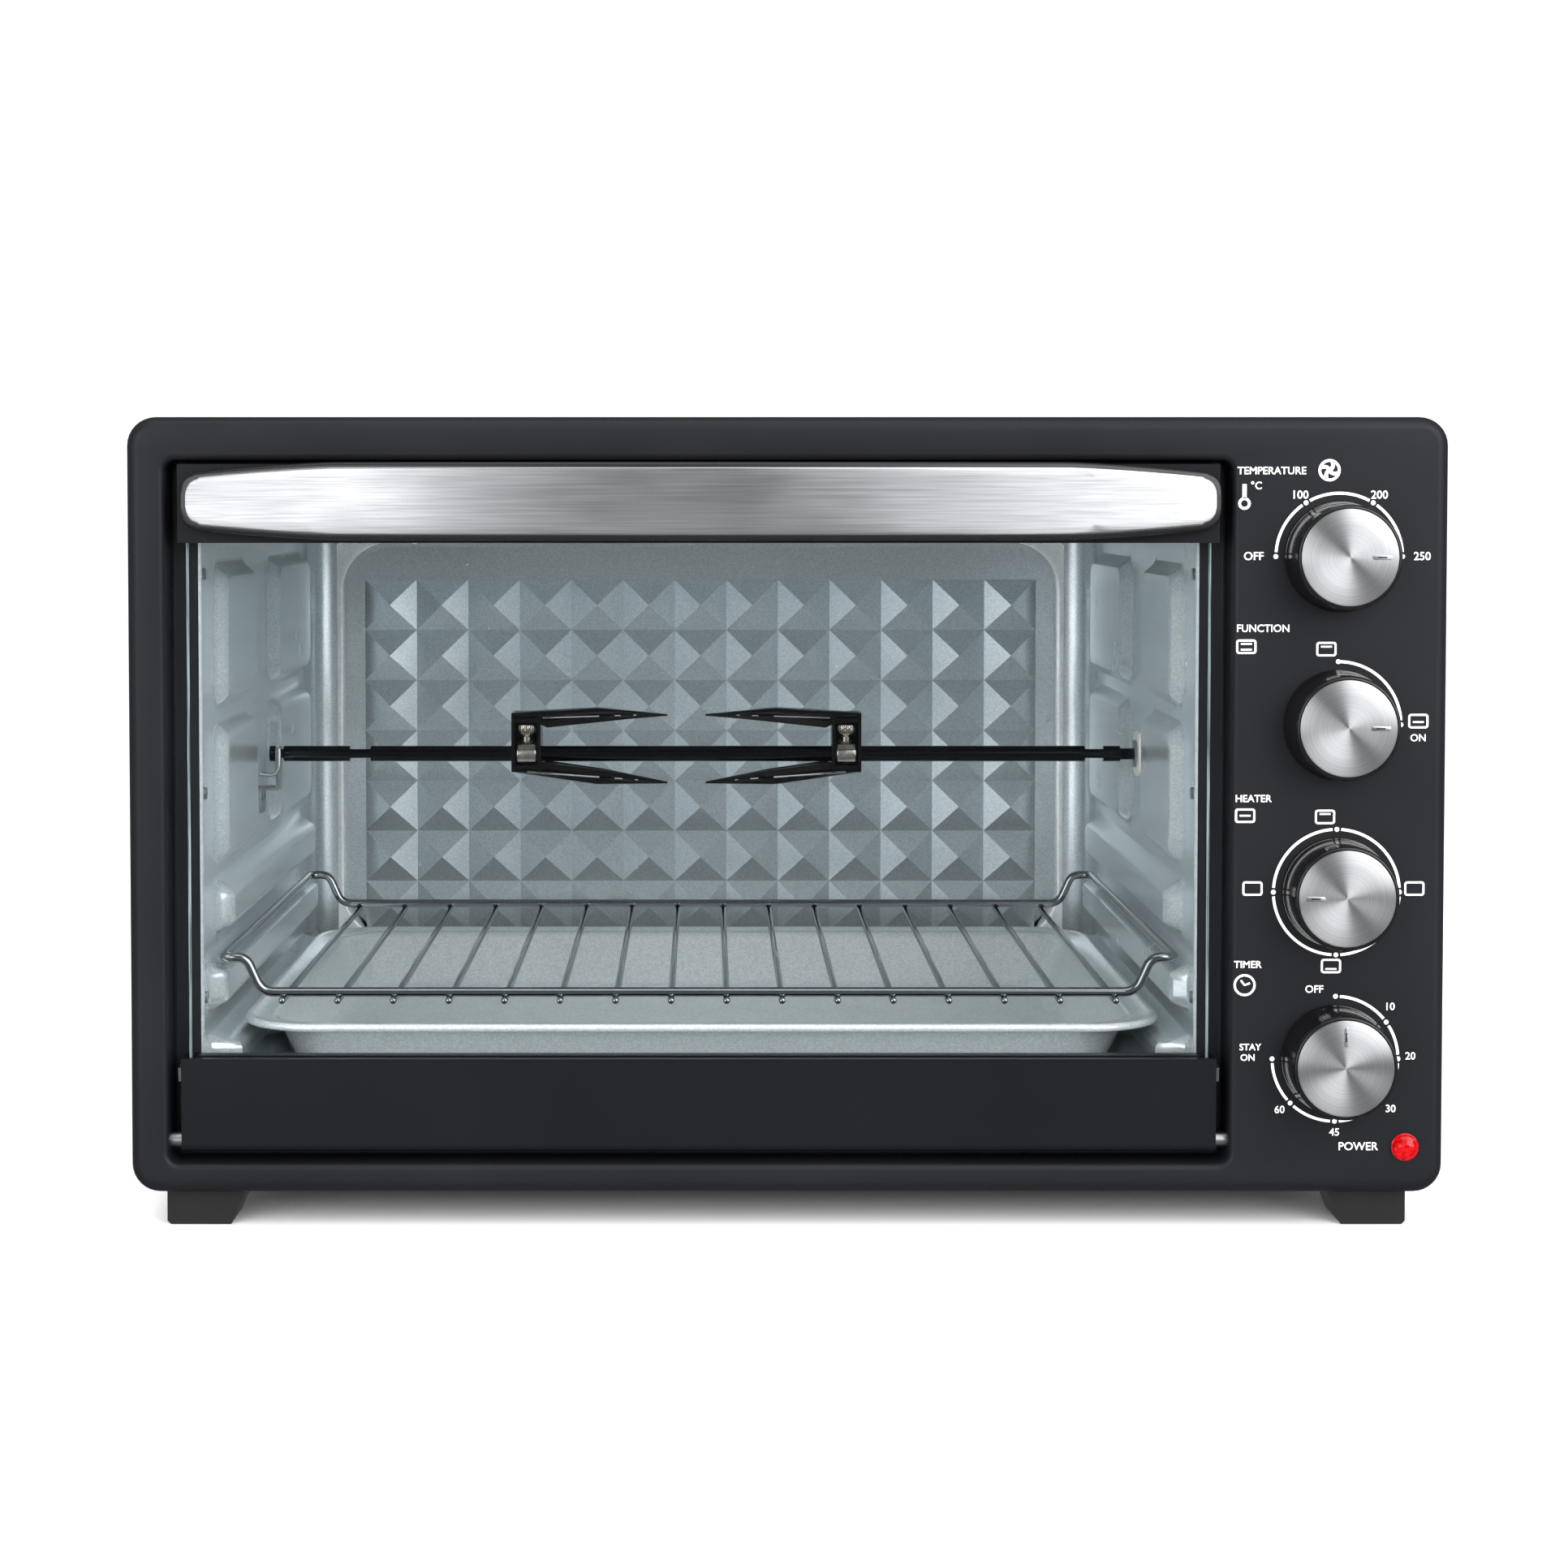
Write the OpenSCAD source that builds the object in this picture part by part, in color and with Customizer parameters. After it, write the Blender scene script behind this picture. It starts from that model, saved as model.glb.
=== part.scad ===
// Countertop rotisserie oven: a folded steel case with a stamped front frame, a glass door hinged
// at its lower edge, a ribbed oven chamber with rack and tray, a motor-driven spit and four knobs.
// Millimetres, +Z up, +Y into the oven. The origin is on the ground below the middle of the object.

/* [Case] */
// Width of the case
body_w = 550; // [450:1:670]
// Height of the case without the feet
body_h = 325; // [270:1:400]
// Depth of the case from the front face to the rear cover's outer face
body_d = 390; // [320:1:480]
// Radius of the case corners seen from the front
corner_r = 12; // [9:0.5:24]
// Height of the feet
foot_h = 16; // [10:1:30]
// Width of a foot where it meets the case
foot_w = 34; // [28:1:44]
// Width of a foot on the ground
foot_base_w = 27; // [16:1:28]
// Depth of a foot
foot_d = 30; // [20:1:50]
// Distance of the feet from the case sides
foot_inset = 13; // [13:0.5:40]
// Distance of the feet from the front and the back
foot_setback = 13; // [10:1:60]
// Sheet thickness of the front frame
frame_t = 1.2; // [0.8:0.1:2]
// Depth of the front frame's folded rim
frame_return = 14; // [8:1:25]
// Sheet thickness of the outer cover and the base plate
cover_t = 0.8; // [0.6:0.1:1.5]
// Sheet thickness of the rear cover
rear_t = 1; // [0.6:0.1:2]
// Width of the inward flange that the rear cover is screwed to
flange_w = 12; // [8:1:20]
// Height above the case bottom where the base plate meets the outer cover
seam_h = 15; // [13:1:40]

/* [Door opening] */
// Width of the frame left of the door
stile_w = 16; // [12:1:30]
// Width of the control panel right of the door
panel_w = 90; // [76:1:130]
// Height of the frame above the door
head_h = 18; // [12:1:30]
// Height of the frame below the door
sill_h = 12.5; // [8:0.5:25]
// Corner radius of the door opening
opening_r = 4.5; // [2:0.5:6]
// Depth from the front face to the ledge behind the door
jamb_d = 20; // [18:0.5:28]
// Width of the ledge at the sides
ledge_side = 11; // [10:0.5:16]
// Width of the ledge at the bottom
ledge_bottom = 9.5; // [8:0.5:14]
// Width of the ledge at the top
ledge_top = 8; // [5:0.5:14]

/* [Oven chamber] */
// Sheet thickness of the chamber panels
cavity_t = 0.8; // [0.5:0.1:1.2]
// Space between the chamber's back panel and the outside of the rear cover
rear_space = 34.8; // [26:0.2:60]
// Depth of the recess in the back panel
recess_d = 14; // [6:1:20]
// Distance of the recess from the chamber's side walls
recess_side = 7.5; // [5:0.5:20]
// Height of the recess above the chamber floor
recess_low = 20; // [12:1:40]
// Distance of the recess below the chamber ceiling
recess_high = 23; // [12:1:40]
// Width of the sloping band round the recess
recess_slope = 11; // [5:1:16]
// Corner radius of the recess floor
recess_r = 26; // [10:1:34]
// Smallest pitch of the embossed pyramids
stud_pitch = 27; // [20:1:40]
// Height of the embossed pyramids
stud_h = 6.5; // [3:0.5:9]
// Margin between the pyramids and the recess edge at the sides and the bottom
stud_margin = 10; // [6:1:20]
// Margin between the pyramids and the recess edge at the top
stud_top = 18; // [10:1:40]
// How far the large wall pads stand into the chamber
pad_h = 6; // [3:0.5:9]
// Width of the sloping edge of a wall pad
pad_slope = 4; // [2:0.5:6]
// How far the rack runners stand into the chamber
runner_h = 8; // [7.5:0.5:10]
// How far the tray runners stand into the chamber
tray_runner_h = 14; // [13:0.5:16]
// Radius of the heater tubes
heater_r = 3.25; // [2.5:0.25:4]
// Height of the lower heaters' axes above the floor
heater_low = 6.8; // [6.5:0.1:9]
// Distance of the upper heaters' axes below the ceiling
heater_high = 14; // [9:0.5:20]
// Distance of the front heaters from the ledge
heater_front = 85; // [60:1:110]
// Distance of the rear heaters from the back panel
heater_rear = 95; // [70:1:120]
// Clearance between a heater tube and its insulator
heater_gap = 0.15; // [0.05:0.05:0.3]
// Outer radius of the insulators' flanges
insulator_r = 6; // [5.5:0.1:6.4]

/* [Door] */
// Gap between the door's ends and the opening
door_gap_side = 5.2; // [5:0.1:7]
// Gap between the door's lower edge and the opening
door_gap_bottom = 4.5; // [4.5:0.1:7]
// Gap between the door's upper edge and the opening
door_gap_top = 1.6; // [1:0.1:3]
// Setback of the door's front from the front face
door_setback = 2; // [1:0.5:4]
// Thickness of the door rails
door_t = 14; // [12:0.5:15]
// Height of the lower rail
low_rail_h = 39.4; // [36:0.2:50]
// Height of the upper rail
top_rail_h = 32.8; // [30:0.2:40]
// Sheet thickness of the rails
rail_t = 1; // [0.8:0.1:1.5]
// Thickness of the glass
glass_t = 4; // [3:0.5:5]
// Distance of the glass behind the rails' front
glass_inset = 4; // [3:0.5:5]
// Depth that the glass reaches into each rail
glass_grip = 9; // [6:0.5:12]
// Inset of the glass from the rail ends
glass_side = 2.8; // [2:0.2:6]
// Clearance between the glass and the rail lips on each side
glass_gap = 0.2; // [0.1:0.05:0.4]
// Height of the hinge axis above the door's lower edge
hinge_rise = 4; // [3.8:0.1:4.4]
// Radius of the rails' lower edges
rail_edge_r = 3; // [2.5:0.1:3]
// Radius of the hinge pins
pin_r = 2.5; // [2:0.1:3]
// Radial clearance of the hinge pins
pin_gap = 0.06; // [0.03:0.01:0.1]
// Radius of the pin collars that show beside the door
collar_r = 3.6; // [3.2:0.1:4]
// Radius of the hinge arms' centre line about the hinge axis
arm_r = 29; // [27:0.5:30]
// Width of the hinge arms
arm_w = 6; // [4:0.5:7]
// Thickness of the hinge arms
arm_t = 1.5; // [1:0.1:2]
// Clearance round a hinge arm in its slot
arm_gap = 1; // [0.8:0.1:1.5]

/* [Handle] */
// How far the handle stands in front of the case
handle_proj = 24; // [20:0.5:24]
// Bulge of the handle from its ends to its middle
handle_bow = 18; // [10:1:19]
// Height of the handle at its middle
handle_h = 32; // [26:0.5:36]
// Loss of height from the middle to the ends on each edge
handle_taper = 4.5; // [1:0.5:8]
// Thickness of the handle bar
handle_t = 5; // [4:0.5:7]
// Width of the solid end posts
handle_post = 16; // [12:1:30]
// Thickness of the steel trim
trim_t = 0.8; // [0.5:0.1:1.2]
// Black margin that shows round the trim
trim_margin = 1.4; // [0.8:0.2:4]
// Radius of the handle screws
screw_r = 2; // [1.5:0.1:2.5]

/* [Knobs] */
// Distance of the knobs' axes from the case's right side
knob_side = 46; // [36:1:60]
// Distance of the top knob's axis below the top of the case
knob_top = 58; // [45:1:70]
// Height of the bottom knob's axis above the case bottom
knob_low = 57; // [50:1:70]
// Radius of a knob at its base
knob_r = 23; // [18:0.5:26]
// Radius of the metal disc in a knob's face
disc_r = 20; // [14:0.5:21]
// Projection of the knobs
knob_proj = 21.5; // [16:0.5:26]
// Gap between a knob and the panel
knob_gap = 0.8; // [0.5:0.1:1.5]
// Radius of the knob shafts
shaft_r = 3; // [2.5:0.1:3.5]
// Radial clearance of the shafts
shaft_gap = 0.05; // [0.03:0.01:0.1]
// Distance of the lamp's axis from the case's right side
lamp_side = 16.6; // [12:0.2:30]
// Height of the lamp's axis above the case bottom
lamp_low = 20; // [14:0.5:30]
// Radius of the lamp lens
lens_r = 5.75; // [4:0.25:7]

/* [Spit] */
// Radius of the spit rod
spit_r = 3.75; // [3.5:0.05:5.2]
// Radius of the spit's necks
neck_r = 2.2; // [2:0.1:3.2]
// Height of the spit above the middle of the chamber
spit_rise = 8; // [0:1:12]
// Offset of the spit in front of the chamber's middle
spit_ahead = 3.2; // [0:0.2:10]
// Distance of the spit's left end from the left wall
spit_end = 4.5; // [3:0.5:6]
// Side of the square end that the motor turns
spit_square = 5.2; // [4:0.1:6]
// Clearance of the square end on each side
square_gap = 0.1; // [0.05:0.05:0.2]
// Radial clearance of what slides or turns on a round rod
run_gap = 0.05; // [0.03:0.01:0.1]
// Distance of the left fork from the left wall
fork_left_at = 121; // [100:1:140]
// Distance of the right fork from the right wall
fork_right_at = 133.7; // [110:0.1:150]
// Length of a fork from its plate to its tips
fork_len = 74.5; // [50:0.5:80]
// Width of a fork's channel along the rod
fork_w = 14; // [13:0.5:18]
// Depth of a fork's channel across the rod
fork_d = 18; // [14:0.5:22]
// Height of the fork's upper edge above the rod axis
fork_up = 20; // [18:0.5:24]
// Depth of the fork's lower edge below the rod axis
fork_down = 8.5; // [8:0.5:12]
// Sheet thickness of the forks
fork_t = 1.5; // [1:0.1:2]
// Radius of the thumbscrews' heads
thumb_r = 4.6; // [3.5:0.1:5]

/* [Rack and tray] */
// Radius of the rack's frame wire
wire_r = 2.1; // [1.5:0.1:3]
// Radius of the rack's cross rods
rod_r = 1.5; // [1:0.1:2]
// Number of cross rods
rod_n = 16; // [8:1:22]
// Height of the rack's side rails above the chamber floor
rail_up = 72; // [66:1:80]
// Drop from the side rails to the rack's flat part
rack_drop = 15; // [12:1:17]
// Distance of the side rails' axes from the walls
rail_side = 6.5; // [5.5:0.1:7]
// Distance of the rack's front from the ledge
rack_front = 13.8; // [13:0.1:25]
// Distance of the rack's back from the back panel
rack_rear = 50; // [20:1:90]
// Clearance between the rack or tray and its runners
seat_gap = 0.3; // [0.2:0.05:0.4]
// Height of the tray rim's axis above the chamber floor
tray_up = 40.6; // [38:0.2:44]
// Depth of the tray
tray_deep = 27; // [14:0.5:27]
// Sheet thickness of the tray
tray_t = 0.8; // [0.5:0.1:1]
// Radius of the tray's rolled rim
bead_r = 1.8; // [1.2:0.1:2]
// Distance of the tray from the left wall
tray_left = 10; // [9:0.5:11]
// Distance of the tray from the right wall
tray_right = 8; // [7:0.5:9]
// Distance of the tray from the ledge
tray_front = 16.8; // [15:0.2:25]
// Distance of the tray from the back panel
tray_rear = 32; // [15:1:60]
// Corner radius of the tray
tray_r = 34; // [26:1:45]
// Width of the tray's rim
tray_rim = 14; // [11:0.5:18]
// Inward slope of the tray's sides
tray_slope = 12; // [5:1:16]

/* [Services] */
// How far the cord gland stands behind the rear cover
gland_out = 10; // [6:1:16]
// Radius of the bore for the cord
gland_bore_r = 3.6; // [2.5:0.1:5]
// Radius of the gland's body
gland_r = 8; // [6.5:0.5:10]
// Distance of the gland from the case's right side
gland_side = 60; // [40:1:120]
// Height of the gland above the case bottom
gland_low = 44; // [30:1:80]

/* [Hidden] */
$fn = 48;
EPS = 0.01;
ARC_FN = 720;

// Case and opening
front_y = (handle_proj - body_d - gland_out) / 2;
case_x0 = -body_w / 2;
case_x1 = body_w / 2;
case_z0 = foot_h;
case_z1 = foot_h + body_h;
open_x0 = case_x0 + stile_w;
open_x1 = case_x1 - panel_w;
open_z0 = case_z0 + sill_h;
open_z1 = case_z1 - head_h;
rear_y = body_d - rear_t;
seam_z = case_z0 + seam_h;

// Chamber
cav_x0 = open_x0 + ledge_side;
cav_x1 = open_x1 - ledge_side;
cav_z0 = open_z0 + ledge_bottom;
cav_z1 = open_z1 - ledge_top;
cav_y0 = jamb_d + frame_t;
cav_y1 = body_d - rear_space;
cav_w = cav_x1 - cav_x0;
spit_y = (cav_y0 + cav_y1) / 2 - spit_ahead;
spit_z = (cav_z0 + cav_z1) / 2 + spit_rise;
heater_ys = [cav_y0 + heater_front, cav_y1 - heater_rear];
insulator_body_r = heater_r + heater_gap + 1.6;
insulator_len = 9;

// Wall pads: heights above the floor, lengths from the ledge and the back panel
rail_z = cav_z0 + rail_up;
rail_top = rail_z - wire_r - seat_gap;
runner_room = 3;
long_pad_z = rail_z + wire_r + runner_room;
long_pad_high = 26;
runner_high = 21;
tray_z = cav_z0 + tray_up;
tray_top = tray_z - bead_r - seat_gap;
tray_runner_high = 18;
pad_zs = [long_pad_z + long_pad_high + 5, cav_z1 - 36];
pad_split = (pad_zs[0] + pad_zs[1]) / 2;
pad_between = 5;
front_pad_y = [cav_y0 + 30, spit_y - 41];
rear_pad_y = [spit_y + 19, cav_y1 - 32];
runner_y = [cav_y0 + 12, cav_y1 - 26];
rivet_y = cav_y0 + 7;
rivet_zs = [cav_z0 + 56, (cav_z0 + cav_z1) / 2 + 5, cav_z1 - 40];
rivet_r = 1.6;

// Door
door_x0 = open_x0 + door_gap_side;
door_x1 = open_x1 - door_gap_side;
door_z0 = open_z0 + door_gap_bottom;
door_z1 = open_z1 - door_gap_top;
door_y0 = door_setback;
door_y1 = door_setback + door_t;
glass_y = door_y0 + glass_inset;
hinge_y = (door_y0 + door_y1) / 2;
hinge_z = door_z0 + hinge_rise;
door_mid = (door_x0 + door_x1) / 2;
arm_a0 = -30;
arm_tab = 3;
spring_r = 3.5;
spring_wire_r = 0.8;
spring_side = 4.2;
lug_y = hinge_y + 96;
lug_z = hinge_z - 6;
lug_w = 16;
peg_gap = 0.3;

// Handle
handle_x0 = door_x0 + 3;
handle_x1 = door_x1 - 1;
handle_half = (handle_x1 - handle_x0) / 2;
handle_mid = (handle_x0 + handle_x1) / 2;
handle_z = door_z1 - top_rail_h / 2 + 1;
bow_r = (handle_half * handle_half + handle_bow * handle_bow) / (2 * handle_bow);
bow_y = bow_r - handle_proj;
handle_corner = 7;
handle_foot = 3;

// Knobs, lamp and the parts behind the panel
knob_x = case_x1 - knob_side;
knob_z1 = case_z1 - knob_top;
knob_pitch = (knob_z1 - case_z0 - knob_low) / 3;
bush_r = 5.5;
bush_len = 6;
shaft_in = 22;
lamp_x = case_x1 - lamp_side;
lamp_z = case_z0 + lamp_low;
lens_body_r = lens_r - 1.35;

// Spit
spit_x0 = cav_x0 + spit_end;
cradle_x = spit_x0 + 4.6;
cradle_t = 1.2;
cradle_gap = 0.3;
drive_x = cav_x1 - 9;
bushing_r = 8;
bushing_flange_r = 11;
bushing_flange_t = 1.2;
socket_r = 6.5;
socket_x0 = cav_x1 - 2.5;
socket_x1 = cav_x1 + 10;
socket_deep = 8.5;
motor_shaft_r = 4;
motor_x = cav_x1 + 19;
motor_size = [18, 44, 48];
neck_left = [cav_x0 + 43, cav_x0 + 53];
neck_right = [cav_x1 - 26, cav_x1 - 17];
fork_left_x = cav_x0 + fork_left_at;
fork_right_x = cav_x1 - fork_right_at;
collar_out_r = 7;
thumb_shank_r = 2;
thumb_z = 9;
thumb_h = 6;

// Rack and tray
rack_y0 = cav_y0 + rack_front;
rack_y1 = cav_y1 - rack_rear;
rack_x0 = cav_x0 + rail_side;
rack_x1 = cav_x1 - rail_side;
rack_bend = 66;
rack_corner_r = 5;
rack_rise_len = rack_drop / sin(rack_bend);
rack_step_w = rack_drop / tan(rack_bend);
rack_shoulder = 5;
knuckle = 0.08;
rack_flat = rack_x1 - rack_x0 - 2 * (rack_corner_r + rack_shoulder + rack_step_w);
rack_z = rail_z - rack_drop;
rod_margin = 9;
rod_past = 4;
rod_weld = 0.3;
tray_x0 = cav_x0 + tray_left;
tray_x1 = cav_x1 - tray_right;
tray_y0 = cav_y0 + tray_front;
tray_y1 = cav_y1 - tray_rear;

// Vents, screws and the cord's way out
vent_w = 3;
vent_pitch = 8;
case_screw_r = 1.5;
screw_gap = 0.1;
head_r = 3.2;
head_t = 2;
case_screw_len = 8;
gland_x = case_x1 - gland_side;
gland_z = case_z0 + gland_low;
gland_flange_r = gland_r + 3;
gland_flange_t = 2;

// Rounded rectangle in the plane of the front face
module panel_shape(x0, x1, z0, z1, r) {
    translate([x0 + r, z0]) square([x1 - x0 - 2 * r, z1 - z0]);
    translate([x0, z0 + r]) square([x1 - x0, z1 - z0 - 2 * r]);
    for (x = [x0 + r, x1 - r], z = [z0 + r, z1 - r]) translate([x, z]) circle(r);
}

module case_shape(inset) {
    panel_shape(case_x0 + inset, case_x1 - inset, case_z0 + inset, case_z1 - inset, corner_r - inset);
}

module opening_shape(grow) {
    panel_shape(open_x0 - grow, open_x1 + grow, open_z0 - grow, open_z1 + grow, opening_r + grow);
}

// A front-view shape given depth from y0 to y1
module deep(y0, y1) {
    translate([0, y1, 0]) rotate([90, 0, 0]) linear_extrude(y1 - y0) children();
}

// A side-view shape, drawn as y and z, given width from x0 to x1
module wide(x0, x1) {
    translate([x0, 0, 0]) rotate([90, 0, 90]) linear_extrude(x1 - x0) children();
}

module block(x0, x1, y0, y1, z0, z1) {
    translate([x0, y0, z0]) cube([x1 - x0, y1 - y0, z1 - z0]);
}

module rod_x(x0, x1, y, z, r) {
    translate([x0, y, z]) rotate([0, 90, 0]) cylinder(r = r, h = x1 - x0);
}

module rod_y(y0, y1, x, z, r) {
    translate([x, y1, z]) rotate([90, 0, 0]) cylinder(r = r, h = y1 - y0);
}

// The front face stands at y = 0 in every module; this puts it at its place in the object
module placed() {
    translate([0, front_y, 0]) children();
}

// Something that faces forward from the panel at x, z, drawn along +Z
module facing(x, z) {
    translate([x, 0, z]) rotate([90, 0, 0]) children();
}

// A row of upright slots cut along x
module vent_row(n, x, y0, y1, z0, z1) {
    for (i = [0 : n - 1])
        block(x + (i - (n - 1) / 2) * vent_pitch - vent_w / 2,
            x + (i - (n - 1) / 2) * vent_pitch + vent_w / 2, y0, y1, z0, z1);
}

// ---------------------------------------------------------------- case
module front_frame() {
    slot_z0 = hinge_z + min(arm_r - arm_w / 2 - 4,
        sqrt(pow(arm_r - arm_w / 2, 2) - pow(cav_y0 - hinge_y, 2)) - peg_gap);
    slot_z1 = hinge_z + arm_r + arm_w / 2;
    color("#25262a") placed() difference() {
        union() {
            deep(0, frame_t) difference() {
                case_shape(0);
                opening_shape(0);
            }
            deep(0, frame_return) difference() {
                case_shape(0);
                case_shape(frame_t);
            }
            deep(0, cav_y0) difference() {
                opening_shape(frame_t);
                opening_shape(0);
            }
            deep(jamb_d, cav_y0) difference() {
                opening_shape(frame_t);
                translate([cav_x0, cav_z0]) square([cav_w, cav_z1 - cav_z0]);
            }
        }
        for (i = [0 : 3])
            rod_y(-1, frame_t + 1, knob_x, knob_z1 - i * knob_pitch, shaft_r + 1);
        rod_y(-1, frame_t + 1, lamp_x, lamp_z, lens_body_r + 0.1);
        rod_x(open_x0 - 5, open_x0 + 1, hinge_y, hinge_z, pin_r + screw_gap);
        rod_x(open_x1 - 1, open_x1 + 5, hinge_y, hinge_z, pin_r + screw_gap);
        block(door_x0 - arm_t - arm_gap, door_x0 + arm_gap, jamb_d - 1, cav_y0 + 1, slot_z0, slot_z1);
        block(door_x1 - arm_gap, door_x1 + arm_t + arm_gap, jamb_d - 1, cav_y0 + 1, slot_z0, slot_z1);
    }
}

// The folded skin between the front frame and the rear cover, with the rear flange
module skin() {
    deep(frame_return, rear_y) difference() {
        case_shape(0);
        case_shape(cover_t);
    }
    deep(rear_y - cover_t, rear_y) difference() {
        case_shape(0);
        case_shape(flange_w);
    }
}

module outer_cover() {
    color("#2a2b2f") placed() difference() {
        skin();
        block(case_x0 - 1, case_x1 + 1, 0, body_d, case_z0 - 1, seam_z);
        for (row = [0, 1])
            translate([case_x1 - 5, body_d - 110, seam_z + 30 + row * 130])
                for (i = [0 : 9]) translate([0, i * vent_pitch, 0]) cube([10, vent_w, 60]);
        vent_row(18, knob_x - 100, body_d - 90, body_d - 60, case_z1 - 5, case_z1 + 5);
        case_screw_holes();
    }
}

module base_plate() {
    color("#2a2b2f") placed() difference() {
        intersection() {
            skin();
            block(case_x0 - 1, case_x1 + 1, 0, body_d, case_z0 - 1, seam_z);
        }
        vent_row(14, 0, body_d / 2 - 60, body_d / 2 - 20, case_z0 - 1, case_z0 + 5);
        vent_row(14, 0, body_d / 2 + 20, body_d / 2 + 60, case_z0 - 1, case_z0 + 5);
        case_screw_holes();
    }
}

// Centres of the rear cover's screws
case_screw_at = [for (x = [case_x0 + flange_w / 2, case_x1 - flange_w / 2])
    for (z = [seam_z + 20, case_z1 - 40]) [x, z],
    [case_x0 + body_w / 4, case_z1 - flange_w / 2], [case_x1 - body_w / 4, case_z1 - flange_w / 2],
    [case_x0 + body_w / 4, case_z0 + flange_w / 2], [case_x1 - body_w / 4, case_z0 + flange_w / 2]];

module case_screw_holes() {
    for (p = case_screw_at)
        rod_y(rear_y - 5, body_d + 1, p[0], p[1], case_screw_r + screw_gap);
}

module case_screws() {
    color("#9a9ca0") placed() for (p = case_screw_at) {
        rod_y(body_d - case_screw_len, body_d, p[0], p[1], case_screw_r);
        difference() {
            rod_y(body_d, body_d + head_t, p[0], p[1], head_r);
            block(p[0] - 2.2, p[0] + 2.2, body_d + head_t - 0.8, body_d + 5, p[1] - 0.4, p[1] + 0.4);
            block(p[0] - 0.4, p[0] + 0.4, body_d + head_t - 0.8, body_d + 5, p[1] - 2.2, p[1] + 2.2);
        }
    }
}

module rear_cover() {
    mid_x = (cav_x0 + cav_x1) / 2;
    color("#2a2b2f") placed() difference() {
        deep(rear_y, body_d) case_shape(0);
        for (z = [case_z0 + body_h * 0.3, case_z0 + body_h * 0.55, case_z0 + body_h * 0.8])
            vent_row(26, mid_x, rear_y - 1, body_d + 1, z - 10, z + 10);
        vent_row(8, knob_x, rear_y - 1, body_d + 1, case_z1 - 90, case_z1 - 60);
        rod_y(rear_y - 1, body_d + 1, gland_x, gland_z, gland_r + screw_gap);
        case_screw_holes();
    }
}

module feet() {
    color("#1b1b1d") placed() for (side = [0, 1], y = [foot_setback, body_d - foot_setback - foot_d])
        mirror([side, 0, 0]) deep(y, y + foot_d)
            polygon([[case_x0 + foot_inset, case_z0], [case_x0 + foot_inset, 1.5],
                [case_x0 + foot_inset + 1.5, 0], [case_x0 + foot_inset + foot_base_w, 0],
                [case_x0 + foot_inset + foot_w, case_z0]]);
}

// ---------------------------------------------------------------- chamber
// A pressed pad: h high, its edges sloping by s, except the top edge, which slopes by top_s
module pad_form(y0, y1, z0, z1, h, s, top_s, back) {
    intersection() {
        translate([0, y0 - 1, 0]) rotate([90, 0, 0]) mirror([0, 0, 1]) linear_extrude(y1 - y0 + 2)
            polygon([[-back, z0], [0, z0], [h, z0 + s], [h, z1 - top_s], [0, z1], [-back, z1]]);
        translate([0, 0, z0 - 1]) linear_extrude(z1 - z0 + 2)
            polygon([[-back, y0], [0, y0], [h, y0 + s], [h, y1 - s], [0, y1], [-back, y1]]);
    }
}

// The pads of one wall: [y0, y1, z0, z1, height, top slope]
wall_pads = [
    [front_pad_y[0], front_pad_y[1], pad_zs[0], pad_split - pad_between / 2, pad_h, pad_slope],
    [front_pad_y[0], front_pad_y[1], pad_split + pad_between / 2, pad_zs[1], pad_h, pad_slope],
    [rear_pad_y[0], rear_pad_y[1], pad_zs[0], pad_split - pad_between / 2, pad_h, pad_slope],
    [rear_pad_y[0], rear_pad_y[1], pad_split + pad_between / 2, pad_zs[1], pad_h, pad_slope],
    [front_pad_y[0], rear_pad_y[1], long_pad_z, long_pad_z + long_pad_high, runner_h, pad_slope],
    [runner_y[0], runner_y[1], rail_top - runner_high, rail_top, runner_h, 0.5],
    [runner_y[0], runner_y[1], tray_top - tray_runner_high, tray_top, tray_runner_h, 0.5]];

// A side wall with its inner face at x = 0 and its pads towards +x
module wall_sheet() {
    difference() {
        union() {
            block(-cavity_t, 0, cav_y0, cav_y1, cav_z0, cav_z1);
            for (p = wall_pads) pad_form(p[0], p[1], p[2], p[3], p[4], pad_slope, p[5], 0.1);
        }
        for (p = wall_pads) pad_form(p[0] + cavity_t, p[1] - cavity_t, p[2] + cavity_t,
            p[3] - cavity_t, p[4] - cavity_t, pad_slope, p[5], cavity_t + 1);
        for (y = heater_ys, z = [cav_z0 + heater_low, cav_z1 - heater_high])
            rod_x(-3, 3, y, z, insulator_body_r + 0.1);
        for (z = rivet_zs) rod_x(-3, 3, rivet_y, z, rivet_r + 0.05);
    }
}

module cavity_left_wall() {
    color("#8b9aa1") placed() difference() {
        translate([cav_x0, 0, 0]) wall_sheet();
        for (dy = [-4, 4]) rod_x(cav_x0 - 3, cav_x0 + 3, spit_y + dy, spit_z - 21, rivet_r + 0.05);
    }
}

module cavity_right_wall() {
    color("#8b9aa1") placed() difference() {
        translate([cav_x1, 0, 0]) mirror([1, 0, 0]) wall_sheet();
        rod_x(cav_x1 - 3, cav_x1 + 3, spit_y, spit_z, bushing_r + 0.1);
        for (dz = [-34, 34]) rod_x(cav_x1 - 3, cav_x1 + 3, spit_y, spit_z + dz, rivet_r + 0.05);
    }
}

module cavity_ceiling() {
    color("#8b9aa1") placed()
        block(cav_x0 - cavity_t, cav_x1 + cavity_t, cav_y0, cav_y1, cav_z1, cav_z1 + cavity_t);
}

module cavity_floor() {
    color("#8b9aa1") placed()
        block(cav_x0 - cavity_t, cav_x1 + cavity_t, cav_y0, cav_y1, cav_z0 - cavity_t, cav_z0);
}

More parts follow.
